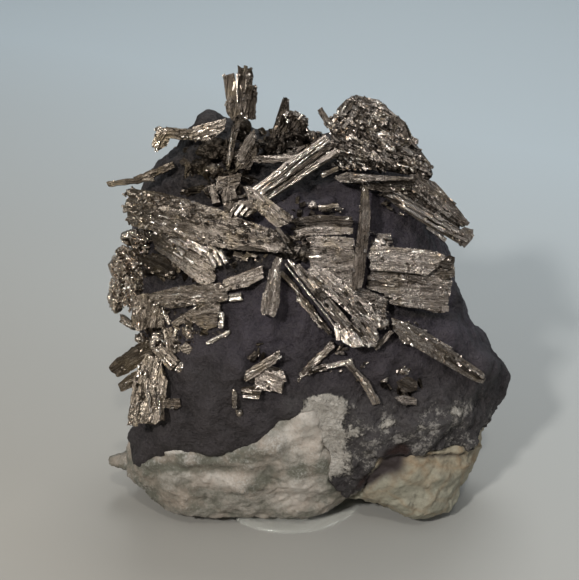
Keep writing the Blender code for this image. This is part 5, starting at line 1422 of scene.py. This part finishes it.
def hollow_at(across, up):
    """Strength of the dark hollow, from 0 to 1, at arrays of seen places."""
    return np.clip(strength_of(HOLLOW_FORMS, across, up), 0, 1)


def noise_places(points, size, shift):
    """Points in mm in units of a size; another shift gives another draw of the same noise."""
    offset = Vector((shift, shift * 0.7, -shift))
    return [Vector(p) / size + offset for p in points]


def fractal(points, size, octaves=3, shift=0.0):
    """Fractal noise at points in mm, with features of a size."""
    return np.array([noise.fractal(q, 1.0, 2.0, octaves)
                     for q in noise_places(points, size, shift)])


def knobs(points, size, shift=0.0):
    """Rounded knobs with creases between them, at points in mm."""
    nearest = np.array([noise.voronoi(q)[0][0] for q in noise_places(points, size, shift)])
    return 0.5 - nearest ** 2


FACET_STEP = Vector((9.3, -1.5, 7.9))  # between the noises that give a facet's slopes


def facets(points, size, shift=0.0):
    """Flat tilted planes that meet in sharp edges, at points in mm."""
    heights = []
    for q in noise_places(points, size, shift):
        cell = noise.voronoi(q)[1][0]
        slope = Vector([noise.noise(cell * 3.7 + FACET_STEP * n) for n in range(3)])
        heights.append((q - cell).dot(slope))
    return np.array(heights)


def fine_skin(node, mesh_size, smoothing):
    """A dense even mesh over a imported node, with its facets melted."""
    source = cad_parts[node]
    worked = bpy.data.objects.new("worked", source.data.copy())
    bpy.context.scene.collection.objects.link(worked)
    grow = worked.modifiers.new("grow", "DISPLACE")
    grow.strength, grow.mid_level = GROWN, 0
    remesh = worked.modifiers.new("even", "REMESH")
    remesh.mode, remesh.voxel_size = "VOXEL", mesh_size
    smooth = worked.modifiers.new("melt", "SMOOTH")
    smooth.factor, smooth.iterations = 0.5, smoothing
    evaluated = worked.evaluated_get(bpy.context.evaluated_depsgraph_get())
    mesh = bpy.data.meshes.new_from_object(evaluated)
    bpy.data.objects.remove(worked)
    return mesh


def arrays_of(mesh):
    """Points and normals of a mesh as arrays."""
    points, normals = (np.zeros(len(mesh.vertices) * 3) for _ in range(2))
    mesh.vertices.foreach_get("co", points)
    mesh.vertices.foreach_get("normal", normals)
    return points.reshape(-1, 3), normals.reshape(-1, 3)


def add_values(mesh, name, values):
    """Stores a number at each point for the material to read."""
    mesh.attributes.new(name, "FLOAT", "POINT").data.foreach_set("value", values.astype(np.float32))


def step_between(values, low, high):
    """A smooth step from 0 at low to 1 at high."""
    t = np.clip((values - low) / (high - low), 0, 1)
    return t * t * (3 - 2 * t)


def shape_rock(rock, settings):
    """A rock piece whose skin is moved by rock.relief(points in mm, across, up, front).

    The relief gives the height in mm and a dictionary of values from 0 to 1 for the finish.
    """
    name = "dressed_" + rock.node
    mesh = fine_skin(rock.node, settings.mesh_size, rock.smoothing)
    points, normals = arrays_of(mesh)
    across, up = seen_at(points)
    front = step_between(normals @ np.array(OUT), -0.1, 0.5)
    height, values = rock.relief(points / MM, across, up, front)
    moved = points + normals * (height * MM)[:, None]
    moved[:, 2] = np.maximum(moved[:, 2], STAND_TOP + ROCK_CLEARANCE)
    mesh.vertices.foreach_set("co", moved.ravel())
    mesh.update()
    # rise is the relief's height, by which the finishes paint shade into low parts and light onto
    # rises.
    for key, value in {**values, "rise": 0.5 + height * 0.3}.items():
        add_values(mesh, key, np.clip(value, 0, 1))
    mesh.materials.clear()
    mesh.materials.append(rock.finish(settings))
    mesh.shade_smooth()
    mesh.name = name
    made = enter(bpy.data.objects.new(name, mesh), rock.slot)
    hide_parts(rock.node)


def crust_relief(points, across, up, front):
    """Soft lumps and creases, a granular zone at the lower right, and angular facets where painted
    shade darkens the crust around and under the crystals.
    """
    grainy = step_between(across, 8, 17) * step_between(-up, 21, 27)
    height = 1.1 * fractal(points, 9, 3) + 0.95 * knobs(points, 4.6, 3)
    height += 0.3 * knobs(points, 1.9, 11)
    height += 0.22 * fractal(points, 1.5, 4, 8)
    height += grainy * (0.7 * knobs(points, 1.5, 5) + 0.45 * fractal(points, 1.1, 3, 2))
    height = raised(height, CRUST_FORMS, across, up, front)
    seam = step_between(-up, 27, 35) * step_between(across, -4, 4) * 0.5
    brown = 0.9 * step_between(up, 14, 30) * step_between(-across, -4, 10)
    brown += 0.7 * step_between(-up, 8, 26)
    brown += 0.5 * step_between(-across, 4, 24)
    hollow = front * hollow_at(across, up)
    patches = strength_of(ASH_FORMS, across, up)
    chalk, soot = (front * strength_of(table, across, up) for table in (CHALK_FORMS, PAINTED_SHADE_FORMS))
    angular = 1.5 * facets(points, 3.2, 13) + 0.5 * facets(points, 1.5, 5)
    height += soot.clip(0, 1) * angular - hollow * 0.8
    speck = front * (grainy * 0.62 + seam + 0.2 * patches)
    return height, {"brown": brown, "speck": speck * (1 - hollow), "chalk": chalk, "soot": soot,
                    "hollow": hollow}


def calcite_relief(points, across, up, front):
    """Cleavage steps and small rounded crystals along the upper edge."""
    steps = fractal(points, 7, 2, 4) * 3.2
    level = np.floor(steps)
    height = 0.32 * (level + step_between(steps - level, 0.35, 0.65)) + 0.5 * facets(points, 2.6, 2)
    height += (0.35 * knobs(points, 1.5, 9) + 0.25 * fractal(points, 1.0, 3, 6)
               + 0.4 * facets(points, 4, 8))
    height += 0.35 * facets(points, 1.3, 6)
    height = raised(height, CALCITE_FORMS, across, up, front)
    stain = 0.45 + strength_of(STAIN_FORMS, across, up)
    speck = front * step_between(across + 0.3 * (up + 30), 3, 11)
    return height, {"brown": stain, "speck": speck}


def host_relief(points, across, up, front):
    """Broken planes with rough grain, and the hollow cut into them."""
    height = 1.7 * facets(points, 9, 1) + 1.0 * facets(points, 3.8, 7)
    height += 0.45 * facets(points, 1.7, 4)
    height += 0.16 * fractal(points, 1.2, 3, 3) + 0.5 * fractal(points, 12, 2, 9)
    height = raised(height, HOST_FORMS, across, up, front)
    rust = front * 0.5 * step_between(up, -46, -40)
    # The hollow is cut in and passed on as speck, painted near-black, partly as painted shade.
    hollow = hollow_at(across, up) * step_between(front, 0, 0.3)
    return height - hollow * 1.2, {"brown": rust, "speck": hollow}


# A rock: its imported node, material slot, finish, rounds of smoothing and relief.
Rock = namedtuple("Rock", "node slot finish smoothing relief")
ROCKS = (
    Rock("arsenic_matrix", "arsenic", arsenic_finish, 14, crust_relief),
    Rock("calcite_vein", "calcite", calcite_finish, 8, calcite_relief),
    Rock("host_rock", "host_rock", host_finish, 8, host_relief),
)


# ---------------------------------------------------------------- the stand and the stage
DISC_SEGMENTS = 160
DISC_EDGE = 0.5 * MM  # radius of the rounded rim
DISC_EDGE_TURN = 160  # degrees that the rounding goes through, from the underside
DISC_FLAT = 0.7  # of the radius


def disc_profile(steps):
    """Half section of the disc as radius and height: its rounded rim, then the rise inwards."""
    low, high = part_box("stand")
    radius, thick = (high.x - low.x) / 2, high.z - low.z
    profile = []
    for step in range(2 * steps + 1):
        turn = math.radians(-90 + DISC_EDGE_TURN * step / (2 * steps))
        profile.append((radius - DISC_EDGE * (1 - math.cos(turn)),
                        DISC_EDGE + DISC_EDGE * math.sin(turn)))
    rim, lip = profile[-1]
    for step in range(1, 2 * steps + 1):
        share = step / (2 * steps)
        rise = 0.5 - 0.5 * math.cos(math.pi * share)
        profile.append((rim - (rim - DISC_FLAT * radius) * share, lip + (thick - lip) * rise))
    return profile


def turned_disc(steps, finish):
    """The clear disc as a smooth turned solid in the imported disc's place."""
    profile = disc_profile(steps)
    points, faces = [], []
    for far, height in profile:
        points.extend((far * math.cos(t), far * math.sin(t), height)
                      for t in (2 * math.pi * i / DISC_SEGMENTS for i in range(DISC_SEGMENTS)))
    for k in range(len(profile) - 1):
        low, high = k * DISC_SEGMENTS, (k + 1) * DISC_SEGMENTS
        for i in range(DISC_SEGMENTS):
            j = (i + 1) % DISC_SEGMENTS
            faces.append((low + i, low + j, high + j, high + i))
    faces.append(tuple(range(DISC_SEGMENTS - 1, -1, -1)))
    faces.append(tuple(range((len(profile) - 1) * DISC_SEGMENTS, len(profile) * DISC_SEGMENTS)))
    mesh = bpy.data.meshes.new("clear_disc")
    mesh.from_pydata(points, [], faces)
    mesh.update()
    mesh.shade_smooth()
    mesh.set_sharp_from_angle(angle=math.radians(35))
    mesh.materials.append(finish)
    made = enter(bpy.data.objects.new("clear_disc", mesh), "clear_stand")
    made.visible_shadow = False
    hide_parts("stand")


def floor_sheet(name, settings):
    """A wide floor that sweeps up at the back, its flat part just above the disc's underside."""
    reach, rise, bend, flat = 1.6, 0.9, 0.5, 0.05 * MM
    profile = [(-reach, flat), (reach - bend, flat)]
    profile += [(reach - bend + bend * math.sin(turn), bend - bend * math.cos(turn))
                for turn in (math.radians(degrees) for degrees in range(5, 91, 5))]
    profile.append((reach, rise + bend))
    points = [(x, y, z) for y, z in profile for x in (-2 * reach, 2 * reach)]
    faces = [(2 * k, 2 * k + 1, 2 * k + 3, 2 * k + 2) for k in range(len(profile) - 1)]
    mesh = bpy.data.meshes.new(name)
    mesh.from_pydata(points, [], faces)
    mesh.update()
    mesh.shade_smooth()
    surface = Surface("studio_floor", Roughness=0.55)
    place = surface.node("TexCoord", {}, {}, "Object")
    right, back = (surface.node("SeparateXYZ", {}, {0: place}, axis) for axis in "XY")
    # Painted light: the floor is darker and warmer at the front left, lighter and cooler to the back
    # right.
    far = (right * 1.8 + back * 2.5 + surface.noise(place, 2.5, 2, 0.5) * 0.2 + 0.06).clamp()
    colour = surface.mix(far, settings.floor, settings.floor_far)
    mesh.materials.append(surface.finish(Base_Color=colour))
    made = bpy.data.objects.new(name, mesh)
    bpy.context.scene.collection.objects.link(made)


# A square area lamp: its place, target and size (m), its share of the key lamp's power, and its
# colour.
Lamp = namedtuple("Lamp", "name place target size share colour", defaults=((1, 1, 1),))
LAMPS = (
    Lamp("key", (-0.3, -0.55, 0.52), (0, 0, 0.05), 0.06, 1),
    Lamp("top", (0.1, 0.55, 0.95), (0.05, 0.4, 0), 0.6, 1.25, (0.95, 0.98, 1)),
    Lamp("right", (0.6, -0.3, 0.35), (0, 0, 0.05), 0.25, 0.15, (0.9, 0.95, 1)),
    Lamp("spark", (0.05, -0.5, 0.75), (0, 0, 0.05), 0.04, 0.3, (1, 0.98, 0.94)),
)
# The room's colour from straight below to straight above.
ROOM_TINTS = ((0, (0.5, 0.53, 0.56)), (0.12, (0.16, 0.17, 0.19)), (0.5, (0.22, 0.24, 0.26)),
              (0.72, (1.1, 1.2, 1.32)), (1, (2, 2.2, 2.4)))
SENSOR = 36  # mm


def hang(lamp, key_power):
    """Hangs a lamp that points at its target."""
    data = bpy.data.lights.new(lamp.name, "AREA")
    data.size, data.energy, data.color = lamp.size, key_power * lamp.share, lamp.colour
    made = bpy.data.objects.new(lamp.name, data)
    made.location = lamp.place
    aim = Vector(lamp.target) - Vector(lamp.place)
    made.rotation_euler = aim.to_track_quat("-Z", "Y").to_euler()
    bpy.context.scene.collection.objects.link(made)


def room_light(strength):
    """A room, dark at eye level and bright overhead, so that metal shows dark and light faces."""
    world = bpy.data.worlds.new("room")
    world.use_nodes = True
    room = Nodes(world.node_tree)
    height = room.node("SeparateXYZ", {}, {0: room.node("TexCoord", {}, {}, "Generated")}, "Z")
    tint = room.node("ValToRGB", {"stops": ROOM_TINTS}, {0: height}, "Color")
    background = room.nodes["Background"]
    room.feed(background.inputs["Color"], tint)
    room.feed(background.inputs["Strength"], strength)
    return world


def view_camera(scene):
    """The camera that sees the face squarely."""
    eye = bpy.data.objects.new("camera", bpy.data.cameras.new("camera"))
    eye.data.sensor_fit, eye.data.sensor_width = "HORIZONTAL", SENSOR
    eye.data.lens = SENSOR * VIEWING_DISTANCE / (SEEN_WIDTH * MM)
    eye.data.clip_start = 0.01
    turned = Matrix((ACROSS, UP, OUT)).transposed().to_4x4()
    turned.translation = EYE
    eye.matrix_world = turned
    scene.collection.objects.link(eye)
    scene.camera = eye


# ---------------------------------------------------------------- operators
class SPECIMEN_OT_stage(bpy.types.Operator):
    """Build the floor, the lamps, the room light and the camera"""
    bl_idname = "specimen.stage"
    bl_label = "Build the stage"

    def execute(self, context):
        settings = context.scene.specimen_stage
        floor_sheet("floor", settings)
        for lamp in LAMPS:
            hang(lamp, settings.key_power)
        context.scene.world = room_light(settings.fill)
        view_camera(context.scene)
        context.scene.view_settings.view_transform = "Standard"
        return {"FINISHED"}


class SPECIMEN_OT_rocks(bpy.types.Operator):
    """Build the arsenic crust, the calcite vein and the host rock"""
    bl_idname = "specimen.rocks"
    bl_label = "Build the rocks"

    def execute(self, context):
        for rock in ROCKS:
            shape_rock(rock, context.scene.specimen_rock)
        return {"FINISHED"}


class SPECIMEN_OT_crystals(bpy.types.Operator):
    """Build the groups of ribbed silver-antimony blades"""
    bl_idname = "specimen.crystals"
    bl_label = "Build the crystals"

    def execute(self, context):
        settings = context.scene.specimen_crystal
        finish = metal_finish(settings)
        for name in CRYSTALS:
            grow_group(name, finish, settings)
        return {"FINISHED"}


class SPECIMEN_OT_stand(bpy.types.Operator):
    """Build the clear turned disc"""
    bl_idname = "specimen.stand"
    bl_label = "Build the stand"

    def execute(self, context):
        settings = context.scene.specimen_stand
        turned_disc(settings.round_steps, clear_finish(settings))
        return {"FINISHED"}


class SPECIMEN_PT_panel(bpy.types.Panel):
    """Lists the settings and the steps that build the specimen"""
    bl_label = "Dyscrasite specimen"
    bl_idname = "SPECIMEN_PT_panel"
    bl_space_type = "VIEW_3D"
    bl_region_type = "UI"
    bl_category = "Specimen"

    def draw(self, context):
        layout = self.layout
        for group, step in STEPS:
            box = layout.box()
            settings = getattr(context.scene, group)
            for key in settings.__annotations__:
                box.prop(settings, key)
            box.operator(step)


SETTINGS = {
    "specimen_crystal": CrystalSettings,
    "specimen_rock": RockSettings,
    "specimen_stand": StandSettings,
    "specimen_stage": StageSettings,
}
STEPS = (
    ("specimen_stage", "specimen.stage"),
    ("specimen_stand", "specimen.stand"),
    ("specimen_rock", "specimen.rocks"),
    ("specimen_crystal", "specimen.crystals"),
)
CLASSES = (*SETTINGS.values(), SPECIMEN_OT_stage, SPECIMEN_OT_rocks, SPECIMEN_OT_crystals,
           SPECIMEN_OT_stand, SPECIMEN_PT_panel)


def register():
    for made in CLASSES:
        bpy.utils.register_class(made)
    for name, group in SETTINGS.items():
        setattr(bpy.types.Scene, name, bpy.props.PointerProperty(type=group))


def unregister():
    for name in SETTINGS:
        delattr(bpy.types.Scene, name)
    for made in reversed(CLASSES):
        bpy.utils.unregister_class(made)


def main():
    """Builds everything in order."""
    register()
    for _, step in STEPS:
        module, name = step.split(".")
        getattr(getattr(bpy.ops, module), name)()


if __name__ == "__main__":
    main()
